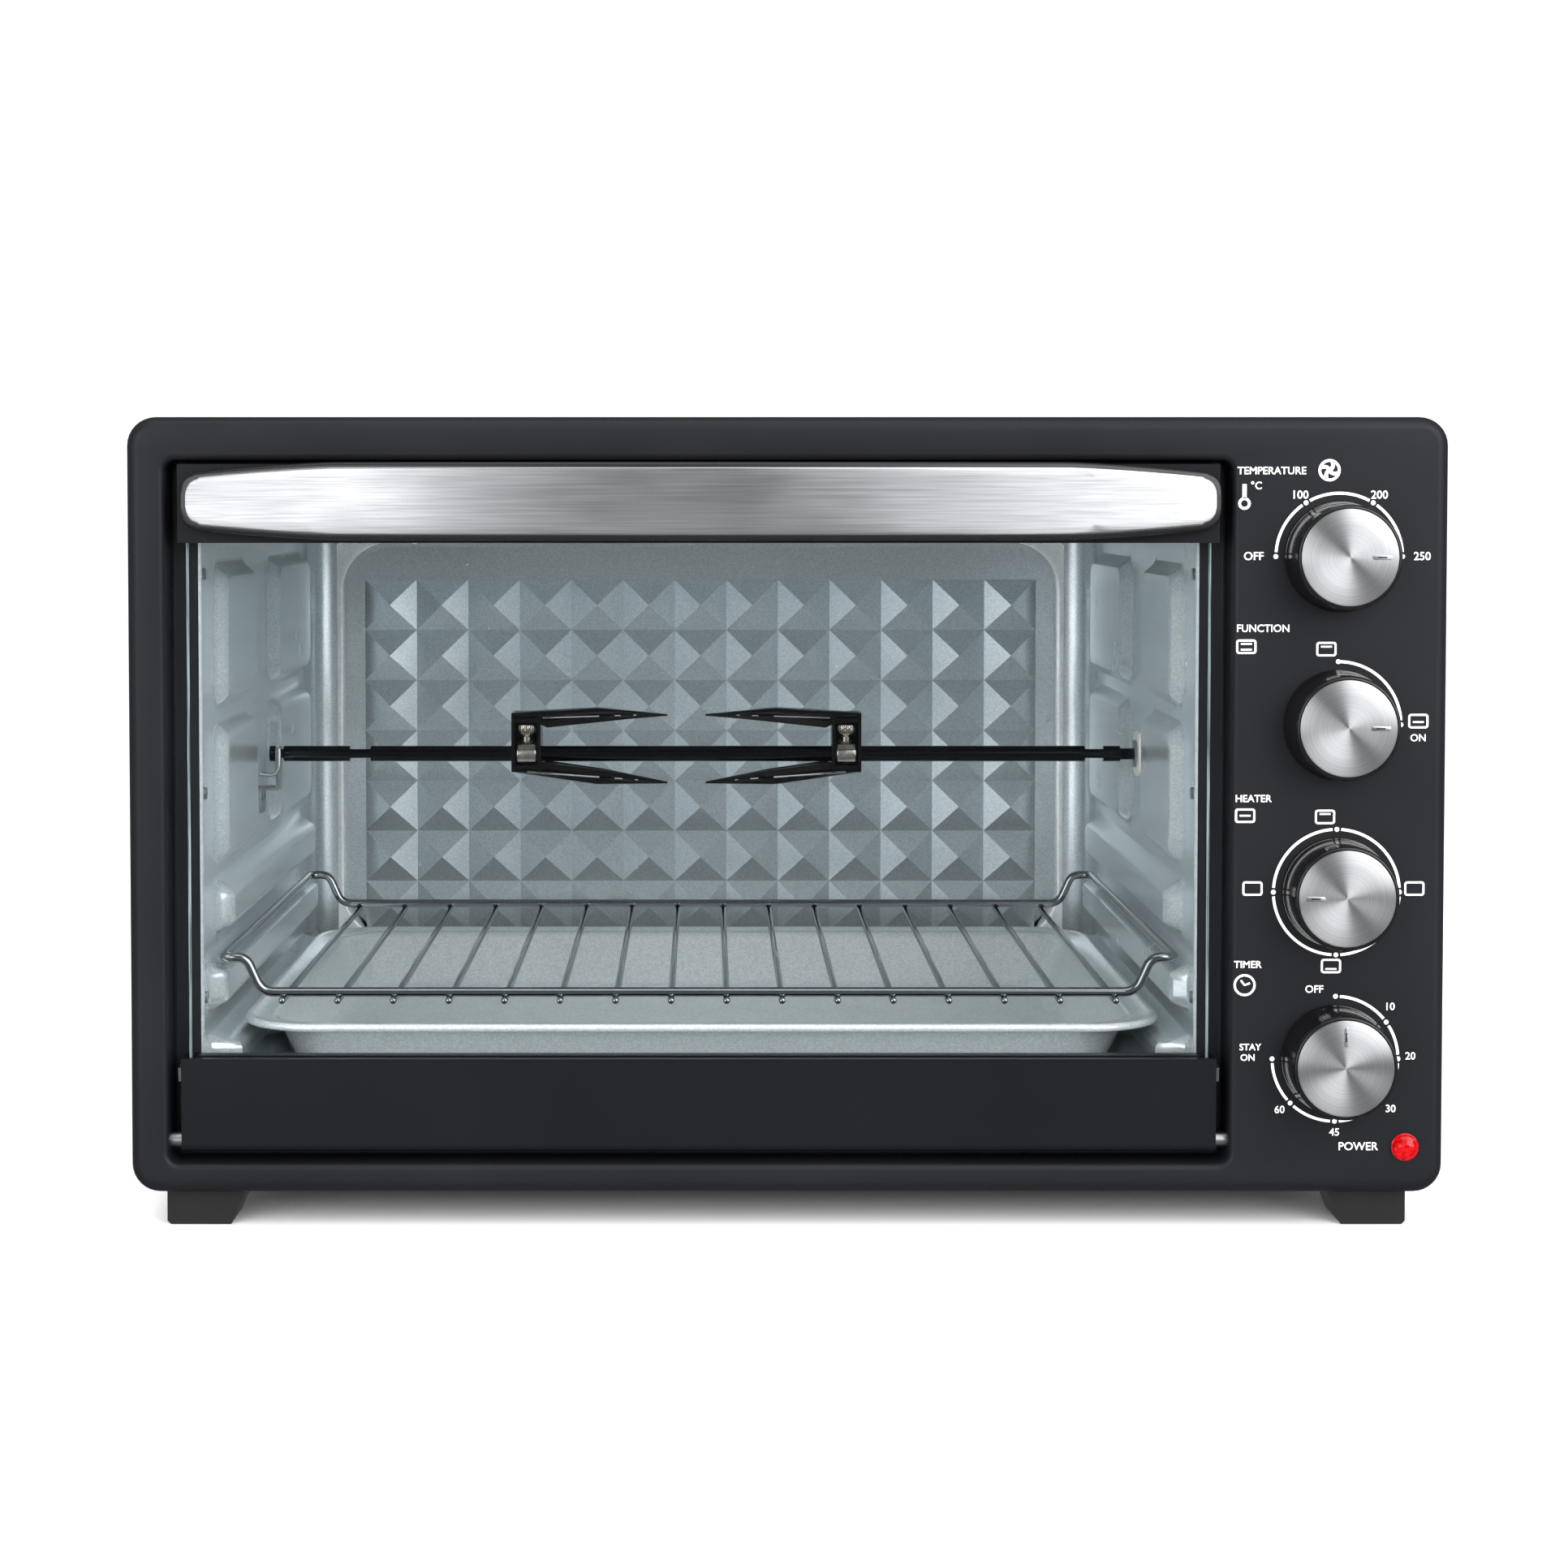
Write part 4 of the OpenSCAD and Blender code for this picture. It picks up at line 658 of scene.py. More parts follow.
@dataclass(frozen=True)
class TemperedGlass(Finish):
    """Clear soda-lime float glass, cut, edge-polished and tempered. Its faces pass nearly all the
    light and mirror a little at a slant; the ground edges catch light and look grey-green."""

    tint: str = "FAFBFB"
    mirror: float = 0.02
    share: float = 0.5

    def surface(self, tree: bpy.types.NodeTree, place: bpy.types.NodeSocket) -> bpy.types.Node:
        """Let light straight through and add the face's own reflection by angle.

        Args:
            tree: the material's nodes.
            place: the object's own coordinates.

        Returns:
            The shader.
        """
        film = add_node(tree, "ShaderNodeTexNoise", {"Scale": per_mm(35), "Detail": 3.0},
                        {"Vector": place})
        rough = add_node(tree, "ShaderNodeMapRange", {"To Min": 0.0, "To Max": self.mirror},
                         {"Value": film.outputs["Fac"]})
        clear = add_node(tree, "ShaderNodeBsdfTransparent", {"Color": linear(self.tint)})
        gloss = add_node(tree, "ShaderNodeBsdfPrincipled",
                         {"Metallic": 1.0, "Base Color": linear("F2F5F6")},
                         {"Roughness": rough.outputs["Result"]})
        slant = add_node(tree, "ShaderNodeLayerWeight", {"Blend": 0.5})
        curve = add_node(tree, "ShaderNodeMath", {"operation": "POWER", 1: 5.0},
                         {0: slant.outputs["Facing"]})
        share = add_node(tree, "ShaderNodeMath", {"operation": "MULTIPLY_ADD", 1: self.share, 2: 0.008},
                         {0: curve.outputs[0]})
        return add_node(tree, "ShaderNodeMixShader",
                        links={0: share.outputs[0], 1: clear.outputs[0], 2: gloss.outputs[0]})


@dataclass(frozen=True)
class PolishedEdge(Finish):
    """The ground and polished edge of tempered glass, which gathers light from the faces and
    shows it as a pale grey-green line with faint grinding marks."""

    colour: str = "8E9C9F"

    def surface(self, tree: bpy.types.NodeTree, place: bpy.types.NodeSocket) -> bpy.types.Node:
        """Streak a pale glossy body along the edge's length.

        Args:
            tree: the material's nodes.
            place: the object's own coordinates.

        Returns:
            The shader.
        """
        stretch = add_node(tree, "ShaderNodeMapping",
                           {"Scale": (per_mm(2), per_mm(0.8), per_mm(30))},
                           {"Vector": place})
        marks = add_node(tree, "ShaderNodeTexNoise", {"Scale": 1.0, "Detail": 3.0},
                         {"Vector": stretch.outputs["Vector"]})
        tone = add_node(tree, "ShaderNodeValToRGB",
                        {"stops": [(0.35, linear("4A5356")), (0.65, linear(self.colour))]},
                        {"Fac": marks.outputs["Fac"]})
        return add_node(tree, "ShaderNodeBsdfPrincipled", {"IOR": 1.52, "Roughness": 0.12},
                        {"Base Color": tone.outputs["Color"]})


@dataclass(frozen=True)
class ScreenInk(Finish):
    """White epoxy ink, screen printed on the panel and baked, with a faint open grain."""

    colour: str = "F1F2F2"

    def surface(self, tree: bpy.types.NodeTree, place: bpy.types.NodeSocket) -> bpy.types.Node:
        """Thin the white slightly where the screen left less ink.

        Args:
            tree: the material's nodes.
            place: the object's own coordinates.

        Returns:
            The shader.
        """
        mesh = add_node(tree, "ShaderNodeTexNoise", {"Scale": per_mm(0.4), "Detail": 2.0},
                        {"Vector": place})
        tone = add_node(tree, "ShaderNodeValToRGB",
                        {"stops": [(0.25, linear("C9CBCC")), (0.5, linear(self.colour))]},
                        {"Fac": mesh.outputs["Fac"]})
        rough = add_node(tree, "ShaderNodeMapRange", {"To Min": 0.4, "To Max": 0.55},
                         {"Value": mesh.outputs["Fac"]})
        return add_node(tree, "ShaderNodeBsdfPrincipled", {"IOR": 1.5},
                        {"Base Color": tone.outputs["Color"], "Roughness": rough.outputs["Result"]})


@dataclass(frozen=True)
class RedLens(Finish):
    """Red acrylic lens, moulded with facets and lit from behind by its small lamp, so it glows a
    little more where it is thick."""

    colour: str = "780004"

    def surface(self, tree: bpy.types.NodeTree, place: bpy.types.NodeSocket) -> bpy.types.Node:
        """Mottle the red and give it the faint glow of the lamp behind.

        Args:
            tree: the material's nodes.
            place: the object's own coordinates.

        Returns:
            The shader.
        """
        swirl = add_node(tree, "ShaderNodeTexVoronoi", {"Scale": per_mm(1.6)}, {"Vector": place})
        tone = add_node(tree, "ShaderNodeValToRGB",
                        {"stops": [(0.0, linear("C40C10")), (0.8, linear(self.colour))]},
                        {"Fac": swirl.outputs["Distance"]})
        bump = add_node(tree, "ShaderNodeBump", {"Strength": 0.25, "Distance": 0.0004},
                        {"Height": swirl.outputs["Distance"]})
        return add_node(tree, "ShaderNodeBsdfPrincipled",
                        {"IOR": 1.49, "Roughness": 0.08, "Emission Color": linear("D8100C"),
                         "Emission Strength": 0.1},
                        {"Base Color": tone.outputs["Color"], "Normal": bump.outputs["Normal"]})


@dataclass(frozen=True)
class StudioPaper(Finish):
    """Matt white studio paper under the object."""

    colour: str = "F4F4F3"

    def surface(self, tree: bpy.types.NodeTree, place: bpy.types.NodeSocket) -> bpy.types.Node:
        """Give the paper a barely visible tooth.

        Args:
            tree: the material's nodes.
            place: the object's own coordinates.

        Returns:
            The shader.
        """
        tooth = add_node(tree, "ShaderNodeTexNoise", {"Scale": per_mm(4), "Detail": 2.0},
                         {"Vector": place})
        tone = add_node(tree, "ShaderNodeValToRGB",
                        {"stops": [(0.0, linear("F1F1F0")), (1.0, linear(self.colour))]},
                        {"Fac": tooth.outputs["Fac"]})
        return add_node(tree, "ShaderNodeBsdfPrincipled", {"Roughness": 0.9},
                        {"Base Color": tone.outputs["Color"]})


PAINT = PowderCoat("black_powder_coat", "black_paint")
RAIL_PAINT = PowderCoat("door_rail_powder_coat", "black_paint", colour="0B0C10", roughness=0.36)
CHAMBER = FlakeCoat("chamber_flake_coat", "chamber_coat")
TRAY_COAT = FlakeCoat("tray_flake_coat", "tray_coat", colour="E0E5E7", roughness=0.22, metallic=0.5)
# A paler tone of the chamber's coat on the sloping edge of the back recess: a painted highlight that makes
# the slopes read bright
RECESS_PAINTED_HIGHLIGHT = FlakeCoat("recess_painted_highlight_coat", "chamber_coat", colour="F6F8F8", roughness=0.4,
                      metallic=0.4)
HANDLE_BLACK = Moulding("handle_moulding", "handle_black", colour="121214", roughness=0.24)
KNOB_BLACK = Moulding("knob_moulding", "knob_black", colour="0C0C0D", roughness=0.16)
FOOT_BLACK = Moulding("foot_moulding", "foot_plastic", colour="111112", roughness=0.5, relief=0.1)
NATURAL = Moulding("switch_moulding", "switch_plastic", colour="DDD6C4", roughness=0.45)
CERAMIC = Moulding("steatite_ceramic", "white_ceramic", colour="E2DFD6", roughness=0.35)
TRIM = BrushedSteel("brushed_stainless", "handle_steel")
DISC = SpunAluminium("spun_aluminium", "knob_disc", roughness=0.33)
CHROME = Plating("chrome_plate", "rack_chrome", metal=Metal.RACK_CHROME)
ROD_STEEL = Plating("polished_rod_steel", "spit_chrome", metal=Metal.DARK_STEEL, roughness=0.14)
ZINC = Plating("zinc_plate", "zinc_steel", metal=Metal.ZINC, roughness=0.3, stain=0.15)
NICKEL = Plating("nickel_plate", "collar_nickel", metal=Metal.NICKEL, roughness=0.2, stain=0.12)
HEATER = Plating("heater_tube_steel", "heater_tube", metal=Metal.TUBE, roughness=0.4, stain=0.3)
OXIDE = PowderCoat("black_oxide_steel", "fork_black", colour="070708", roughness=0.22, relief=0.03)
GLASS = TemperedGlass("tempered_glass", "door_glass")
GLASS_EDGE = PolishedEdge("polished_glass_edge", "door_glass")
INK = ScreenInk("white_screen_ink", "white_ceramic")
LENS = RedLens("red_acrylic", "lamp_lens")
PAPER = StudioPaper("studio_paper", "black_paint")

CARRIED: dict[str, Finish] = {
    "outer_cover": PAINT, "base_plate": PAINT, "rear_cover": PAINT, "feet": FOOT_BLACK,
    "cavity_ceiling": CHAMBER, "cavity_floor": CHAMBER, "thermostat_body": NATURAL,
    "function_switch_body": NATURAL, "heat_switch_body": NATURAL, "timer_body": ZINC,
    "spit_motor": ZINC, "motor_bracket": ZINC, "drive_bushing": CERAMIC, "indicator_lamp": CERAMIC,
    "upper_heaters": HEATER, "lower_heaters": HEATER, "heater_insulators": CERAMIC,
    "cord_gland": FOOT_BLACK, "terminal_block": NATURAL, "case_screws": ZINC, "wall_rivets": ZINC,
    "hinge_pins": ZINC, "door_springs": ZINC, "spring_brackets": ZINC, "hinge_arms": ZINC,
    "door_top_rail": RAIL_PAINT, "door_bottom_rail": RAIL_PAINT, "handle_screws": ZINC,
    "temperature_shaft": ZINC, "function_shaft": ZINC, "heat_shaft": ZINC, "timer_shaft": ZINC,
    "spit_rod": ROD_STEEL, "drive_socket": ZINC,
}


# ------------------------------------------------------------------ places


@dataclass(frozen=True)
class Box:
    """A node's box in millimetres."""

    low: Point
    high: Point

    @staticmethod
    def of(node: str) -> Box:
        """Read a node's box from the frame."""
        low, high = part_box(node)
        return Box(tuple(c / MM for c in low), tuple(c / MM for c in high))

    def middle(self, axis: int) -> float:
        """The middle of the box along one axis."""
        return (self.low[axis] + self.high[axis]) / 2


def dress(node: str, finish: Finish) -> None:
    """Give a carried-over node its finish.

    Args:
        node: the node's name.
        finish: its finish.
    """
    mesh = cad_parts[node].data
    mesh.materials.clear()
    mesh.materials.append(finish.material())


def place(obj: bpy.types.Object, body: str, finish: Finish, *nodes: str) -> bpy.types.Object:
    """Let a finished piece ride on its body and stand for its nodes.

    Args:
        obj: the piece.
        body: the body that carries it.
        finish: the finish; not used.
        nodes: the nodes it replaces.

    Returns:
        The piece.
    """
    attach(obj, body)
    if nodes:
        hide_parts(*nodes)
    LOG.info("%s on %s, %d faces", obj.name, body, len(obj.data.polygons)
             if obj.type == "MESH" else 0)
    return obj


# ------------------------------------------------------------------ case


@dataclass
class FrontFrame:
    """The pressed front frame: outer rim with a soft edge, rolled door opening and ledge."""

    soft: float = 5.5
    corner: float = 12.0
    rim: float = 14.0
    open_x: Flat = (-259.0, 185.0)
    open_z: Flat = (28.5, 323.0)
    open_r: float = 4.5
    roll: float = 2.6
    sheet: float = 1.2
    shaft_hole_r: float = 3.6
    lens_hole_r: float = 4.5
    pin_hole_r: float = 2.7
    arm_slot_z: Flat = (59.0, 69.0)
    box: Box = field(init=False)

    def loop(self, grow: float, depth: float, outer: bool) -> list[Point]:
        """One loop of the pressing, at a depth behind the front face.

        Args:
            grow: how far it lies outside its nominal outline.
            depth: its distance behind the front face.
            outer: whether it follows the case's outline or the opening's.

        Returns:
            The loop's points.
        """
        box = self.box
        if outer:
            o = rounded_outline(box.low[0] - grow, box.high[0] + grow, box.low[2] - grow,
                                box.high[2] + grow, self.corner + grow)
        else:
            o = rounded_outline(self.open_x[0] - grow, self.open_x[1] + grow,
                                self.open_z[0] - grow, self.open_z[1] + grow, self.open_r + grow)
        return [(x, box.low[1] + depth, z) for x, z in o]

    def build(self) -> None:
        """Loft the pressing, cut its holes and dress it."""
        self.box = Box.of("front_frame")
        rim, soft, roll = self.rim, self.soft, self.roll
        loops = [self.loop(-self.sheet, rim, True), self.loop(0, rim, True)]
        for a in range(0, 91, 10):
            c, s = math.cos(math.radians(a)), math.sin(math.radians(a))
            loops.append(self.loop(-soft * (1 - c), soft * (1 - s), True))
        for a in range(0, 91, 15):
            c, s = math.cos(math.radians(a)), math.sin(math.radians(a))
            loops.append(self.loop(roll * (1 - s), roll * (1 - c), False))
        low_y = self.box.low[1]
        loops.append(self.loop(0, JAMB - 1.0, False))
        loops.append(self.loop(-0.6, JAMB - 0.2, False))
        loops.append(self.loop(-1.2, JAMB, False))
        inner = rounded_outline(*MOUTH_X, *MOUTH_Z, 2.0)
        loops.append([(x, low_y + JAMB, z) for x, z in inner])
        loops.append([(x, low_y + JAMB + self.sheet, z) for x, z in inner])
        loops.append(self.loop(self.sheet, JAMB + self.sheet, False))
        loops.append(self.loop(self.sheet, self.sheet + roll, False))
        loops.append(self.loop(self.sheet + roll, self.sheet, False))
        loops.append(self.loop(-soft, self.sheet, True))
        loops.append(self.loop(-self.sheet, soft, True))
        shape = Shape()
        shape.loft(loops, ring=True)
        obj = shape.build("front_frame_pressing", PAINT.material(), sharp=40)
        cutter = Shape()
        for knob in ("temperature_shaft", "function_shaft", "heat_shaft", "timer_shaft"):
            b = Box.of(knob)
            cutter.lathe([(self.shaft_hole_r, -2), (self.shaft_hole_r, 4)],
                         (b.middle(0), low_y, b.middle(2)), (0, 1, 0), 24)
        lens = Box.of("indicator_lens")
        cutter.lathe([(self.lens_hole_r, -2), (self.lens_hole_r, 4)],
                     (lens.middle(0), low_y, lens.middle(2)), (0, 1, 0), 24)
        arms = Box.of("hinge_arms")
        for x0, x1 in ((arms.low[0] - 1, arms.low[0] + 2.5), (arms.high[0] - 2.5, arms.high[0] + 1)):
            cutter.block((x0, low_y + JAMB - 1, self.arm_slot_z[0]),
                         (x1, low_y + JAMB + 3, self.arm_slot_z[1]), 0.2)
        pins = Box.of("hinge_pins")
        for x in (self.open_x[0] - 6, self.open_x[1] - 1):
            cutter.lathe([(self.pin_hole_r, 0), (self.pin_hole_r, 7)],
                         (x, pins.middle(1), pins.middle(2)), (1, 0, 0), 20)
        carve(obj, cutter)
        place(obj, "case", PAINT, "front_frame")


@dataclass
class MouthRim:
    """The chamber's front edge, folded outwards over the ledge, which shows as a bright line."""

    width: float = 1.0
    lift: float = 0.5

    def build(self) -> None:
        """Loft the folded edge round the mouth."""
        y = Box.of("front_frame").low[1] + JAMB
        shape = Shape()
        loops = []
        for inset, depth in ((-0.4, 0.05), (-0.3, -self.lift), (self.width - 0.3, -self.lift),
                             (self.width, -self.lift + 0.4), (self.width, 1.4), (0.0, 1.4)):
            o = rounded_outline(MOUTH_X[0] + inset, MOUTH_X[1] - inset,
                                MOUTH_Z[0] + inset, MOUTH_Z[1] - inset, 2.0, 4, 8)
            loops.append([(x, y + depth, z) for x, z in o])
        shape.loft(loops, ring=True)
        place(shape.build("chamber_mouth_rim", CHAMBER.material()), "case", CHAMBER)


@dataclass
class Pad:
    """One raised field pressed into a chamber wall."""

    box: tuple[float, float, float, float]
    rise: float
    slope: float
    corner: float


@dataclass
class SideWall:
    """A chamber side wall: pads and runners pressed towards the inside, as one smooth sheet."""

    side: int
    y_step: float = 2.2
    z_step: float = 1.9
    cove: float = 15.0
    bushing_hole_r: float = 8.1
    spit_yz: Flat = (-3.0, 184.5)
    deep: float = field(init=False)

    def pads(self) -> list[Pad]:
        """The wall's raised fields, in depth behind the front face and height."""
        return [
            Pad((51.2, 144, 146.5, 210.3), 6, 6.5, 13), Pad((51.2, 144, 215.3, 279), 6, 6.5, 13),
            Pad((204, 323.2, 146.5, 210.3), 6, 6.5, 13), Pad((204, 323.2, 215.3, 279), 6, 6.5, 13),
            Pad((51, 323, 115.5, 141.5), 8, 7, 9), Pad((33.2, 329.2, 86.2, 107.2), 8, 4.5, 6),
            Pad((33.2, 329.2, 58.5, 76.5), 14, 5, 5)]

    def rise(self, y: float, z: float) -> float:
        """How far the wall stands into the chamber.

        Args:
            y: depth behind the front face.
            z: height.

        Returns:
            The rise in millimetres.
        """
        best = 0.0
        for pad in self.pads():
            d = inside_by(y, z, pad.box, pad.corner)
            if d > 0:
                best = max(best, pad.rise * smooth_rise(d, pad.slope))
        back = self.deep - y
        if back < self.cove:
            r = self.cove
            best = max(best, r - math.sqrt(max(r * r - (r - back) ** 2, 0.0)))
        return best

    def build(self) -> None:
        """Press the sheet and dress it."""
        node = "cavity_left_wall" if self.side < 0 else "cavity_right_wall"
        box = Box.of(node)
        flat = box.low[0] + WALL if self.side < 0 else box.high[0] - WALL
        self.deep = box.high[1] - FRONT_Y
        y0, z0, z1 = box.low[1] - FRONT_Y, box.low[2], box.high[2]
        ny = int((self.deep - self.cove - y0) / self.y_step)
        ys = [y0 + (self.deep - self.cove - y0) * i / ny for i in range(ny)]
        ys += [self.deep - self.cove + self.cove * math.sin(math.radians(a)) for a in range(0, 91, 9)]
        nz = int((z1 - z0) / self.z_step)
        rows = []
        for y in ys:
            rows.append([(flat - self.side * self.rise(y, z), y + FRONT_Y, z)
                         for z in (z0 + (z1 - z0) * k / nz for k in range(nz + 1))])
        shape = Shape()
        shape.sheet(rows, (WALL * self.side, 0, 0))
        obj = shape.build(node.replace("cavity", "chamber"), CHAMBER.material(), sharp=50)
        if self.side > 0:
            hole = Shape()
            hole.lathe([(self.bushing_hole_r, -20), (self.bushing_hole_r, 20)],
                       (flat, *self.spit_yz), (1, 0, 0), 32)
            carve(obj, hole)
        place(obj, "case", CHAMBER, node)


@dataclass
class BackPanel:
    """The chamber's back panel: a framed recess whose floor is a field of pyramids."""

    recess_x: Flat = (-240.5, 166.5)
    recess_z: Flat = (58.0, 292.0)
    slope: float = 11.0
    depth: float = 14.0
    inner_r: float = 26.0
    studs_x: Flat = (-219.5, 145.5)
    studs_z: Flat = (71.0, 263.0)
    count: tuple[int, int] = (13, 7)
    height: float = 6.5
    groove: float = 0.9
    tip: float = 0.5
    face: float = field(init=False)

    def ring(self, inset: float, back: float) -> list[Point]:
        """One loop round the recess.

        Args:
            inset: how far it lies inside the recess outline.
            back: its distance behind the panel's face.

        Returns:
            The loop.
        """
        r = self.inner_r + self.slope * 0.6 - inset * 0.6
        o = rounded_outline(self.recess_x[0] + inset, self.recess_x[1] - inset,
                            self.recess_z[0] + inset, self.recess_z[1] - inset, r, 14, 14)
        return [(x, self.face + back, z) for x, z in o]

    def build(self) -> None:
        """Loft the frame and band, then press the pyramids."""
        box = Box.of("cavity_back")
        self.face = box.low[1]
        outline = rounded_outline(box.low[0], box.high[0], box.low[2], box.high[2], 2, 14, 14)
        loops = [[(x, self.face, z) for x, z in outline], self.ring(-3.4, 0.0)]
        for k in range(9):
            t = k / 8
            loops.append(self.ring(-2.5 + self.slope * t + 2.5 * t * (1 - t),
                                   self.depth * smooth_rise(t, 1)))
        floor = self.face + self.depth
        loops.append(self.ring(self.slope + 0.7, self.depth))
        field_outline = rounded_outline(*self.studs_x, *self.studs_z, 0.02, 14, 14)
        loops.append([(x, floor, z) for x, z in field_outline])
        frame = Shape()
        frame.loft(loops)
        obj = frame.build("chamber_back_frame", CHAMBER.material(), sharp=60)
        # The recess's side slopes take the paler coat, a painted highlight
        obj.data.materials.append(RECESS_PAINTED_HIGHLIGHT.material())
        for part in obj.data.polygons:
            part.material_index = int(abs(part.normal.y) < 0.93 and abs(part.normal.z) < 0.75)
        place(obj, "case", CHAMBER, "cavity_back")
        studs = Shape()
        nx, nz = self.count
        px = (self.studs_x[1] - self.studs_x[0]) / nx
        pz = (self.studs_z[1] - self.studs_z[0]) / nz
        for i in range(nx):
            for k in range(nz):
                self.pyramid(studs, self.studs_x[0] + i * px, self.studs_z[0] + k * pz, px, pz)
        piece = studs.build("chamber_back_pyramids", CHAMBER.material(), sharp=12)
        place(piece, "case", CHAMBER)

    def pyramid(self, shape: Shape, x0: float, z0: float, px: float, pz: float) -> None:
        """Press one pyramid with its blunt tip and the groove round it.

        Args:
            shape: the shape that takes it.
            x0: its field's lowest place across.
            z0: its field's lowest height.
            px: its field's width.
            pz: its field's height.
        """
        floor = self.face + self.depth
        g, tip, blunt = self.groove, self.tip, floor - self.height + 0.25
        outer = [(x0, z0), (x0 + px, z0), (x0 + px, z0 + pz), (x0, z0 + pz)]
        inner = [(x0 + g, z0 + g), (x0 + px - g, z0 + g), (x0 + px - g, z0 + pz - g),
                 (x0 + g, z0 + pz - g)]
        cx, cz = x0 + px / 2, z0 + pz / 2
        points = [(x, floor + 0.1, z) for x, z in outer] + [(x, floor - 0.35, z) for x, z in inner]
        points += [(cx - tip, blunt, cz - tip), (cx + tip, blunt, cz - tip),
                   (cx + tip, blunt, cz + tip), (cx - tip, blunt, cz + tip),
                   (cx, floor - self.height, cz)]
        faces: list[tuple[int, ...]] = []
        for a in range(4):
            b = (a + 1) % 4
            faces += [(a, b, 4 + b, 4 + a), (4 + a, 4 + b, 8 + b, 8 + a), (8 + a, 8 + b, 12)]
        shape.add(points, faces)


# ------------------------------------------------------------------ door


@dataclass
class DoorGlass:
    """The door's glass slab, its faces clear and its edges ground."""

    chamfer: float = 0.5

    def build(self) -> None:
        """Loft the slab through its thickness and give the edges their own finish."""
        b = Box.of("door_glass")
        c = self.chamfer
        shape = Shape()
        loops = []
        for y, e in ((b.low[1], c), (b.low[1] + c, 0), (b.high[1] - c, 0), (b.high[1], c)):
            loops.append([(x, y, z) for x, z in rounded_outline(
                b.low[0] + e, b.high[0] - e, b.low[2] + e, b.high[2] - e, 1.5, 4, 2)])
        shape.loft(loops, caps=True)
        obj = shape.build("door_glass_pane", GLASS.material(), sharp=20)
        obj.data.materials.append(GLASS_EDGE.material())
        for face in obj.data.polygons:
            face.material_index = 0 if abs(face.normal.y) > 0.9 else 1
        place(obj, "door", GLASS, "door_glass")


@dataclass
class DoorHandle:
    """The bowed bar handle: a black moulding with a brushed steel skin on its front."""

    half: float = 214.8
    mid: float = -36.0
    centre_z: float = 306.0
    height: float = 32.0
    taper: float = 4.5
    bow: float = 18.0
    proj: float = 24.0
    bar: float = 5.0
    skin: float = 0.8
    margin: float = 1.9
    level: float = 150.0
    corner: float = 6.0
    post: float = 16.0
    door_front: float = -186.0

    def bow_at(self, d: float) -> float:
        """Depth of the handle's front at a distance from its middle, in the frame."""
        r = (self.half ** 2 + self.bow ** 2) / (2 * self.bow)
        return FRONT_Y + r - self.proj - math.sqrt(r * r - d * d)

    def half_height(self, d: float, inset: float) -> float:
        """Half the outline's height at a distance from its middle.

        Args:
            d: the distance.
            inset: how far the outline is drawn in all round.

        Returns:
            The half height.
        """
        lost = min(max((abs(d) - self.level) / (self.half - self.level), 0.0), 1.0)
        h = self.height / 2 - inset - self.taper * lost ** 1.4
        end = self.half - inset - abs(d)
        if end < self.corner:
            r = self.corner
            cap = self.height / 2 - self.taper - inset - r
            h = min(h, cap + math.sqrt(max(r * r - (r - max(end, 0)) ** 2, 0.0)))
        return h

    def stations(self, inset: float) -> list[float]:
        """Distances from the middle, closer together at the ends.

        Args:
            inset: how far the outline is drawn in all round.

        Returns:
            The distances in order.
        """
        reach = self.half - inset
        ends = [self.corner * (1 - math.cos(math.radians(a))) for a in range(0, 91, 10)]
        left = [-reach + e for e in ends]
        middle = [-reach + self.corner + (2 * reach - 2 * self.corner) * i / 60
                  for i in range(1, 60)]
        posts = [s * (self.half - self.post - k) for s in (-1, 1) for k in (0, 0.7, 1.5)]
        return sorted(left + middle + posts + [-x for x in left])

    def build(self) -> None:
        """Build the moulding and the steel skin."""
        body = Shape()
        loops = []
        for d in self.stations(0.0):
            h = self.half_height(d, 0.0)
            front = self.bow_at(d) + 0.25
            in_post = smooth_rise(self.half - abs(d) - self.post, 1.5)
            behind = self.bow_at(d) + self.skin + self.bar
            back = self.door_front + (behind - self.door_front) * in_post
            r = min(1.6, h * 0.45, (back - front) * 0.45)
            loops.append([(self.mid + d, y, self.centre_z + z) for y, z in
                          rounded_outline(front, back, -h, h, r, 4, 3)])
        body.loft(loops, caps=True)
        obj = body.build("handle_moulding_bar", HANDLE_BLACK.material(), sharp=50)
        place(obj, "door", HANDLE_BLACK, "handle_body")
        skin = Shape()
        loops = []
        for d in self.stations(self.margin):
            h = self.half_height(d, self.margin)
            y = self.bow_at(d)
            edge = min(1.2, h * 0.4)
            section = [(y + self.skin, -h), (y + edge * 0.55, -h)]
            section += [(y + edge * (1 - math.sin(math.radians(a))) * 0.55,
                         -h + edge * (1 - math.cos(math.radians(a)))) for a in (30, 60, 90)]
            inner = h - edge
            section += [(y, -inner + 2 * inner * k / 8) for k in range(1, 8)]
            section += [(y + edge * (1 - math.sin(math.radians(a))) * 0.55,
                         h - edge * (1 - math.cos(math.radians(a)))) for a in (90, 60, 30)]
            section += [(y + edge * 0.55, h), (y + self.skin, h)]
            loops.append([(self.mid + d, yy, self.centre_z + z) for yy, z in section])
        skin.loft(loops, caps=True)
        obj = skin.build("handle_steel_skin", TRIM.material(), sharp=60)
        place(obj, "door", TRIM, "handle_trim")


# ------------------------------------------------------------------ controls


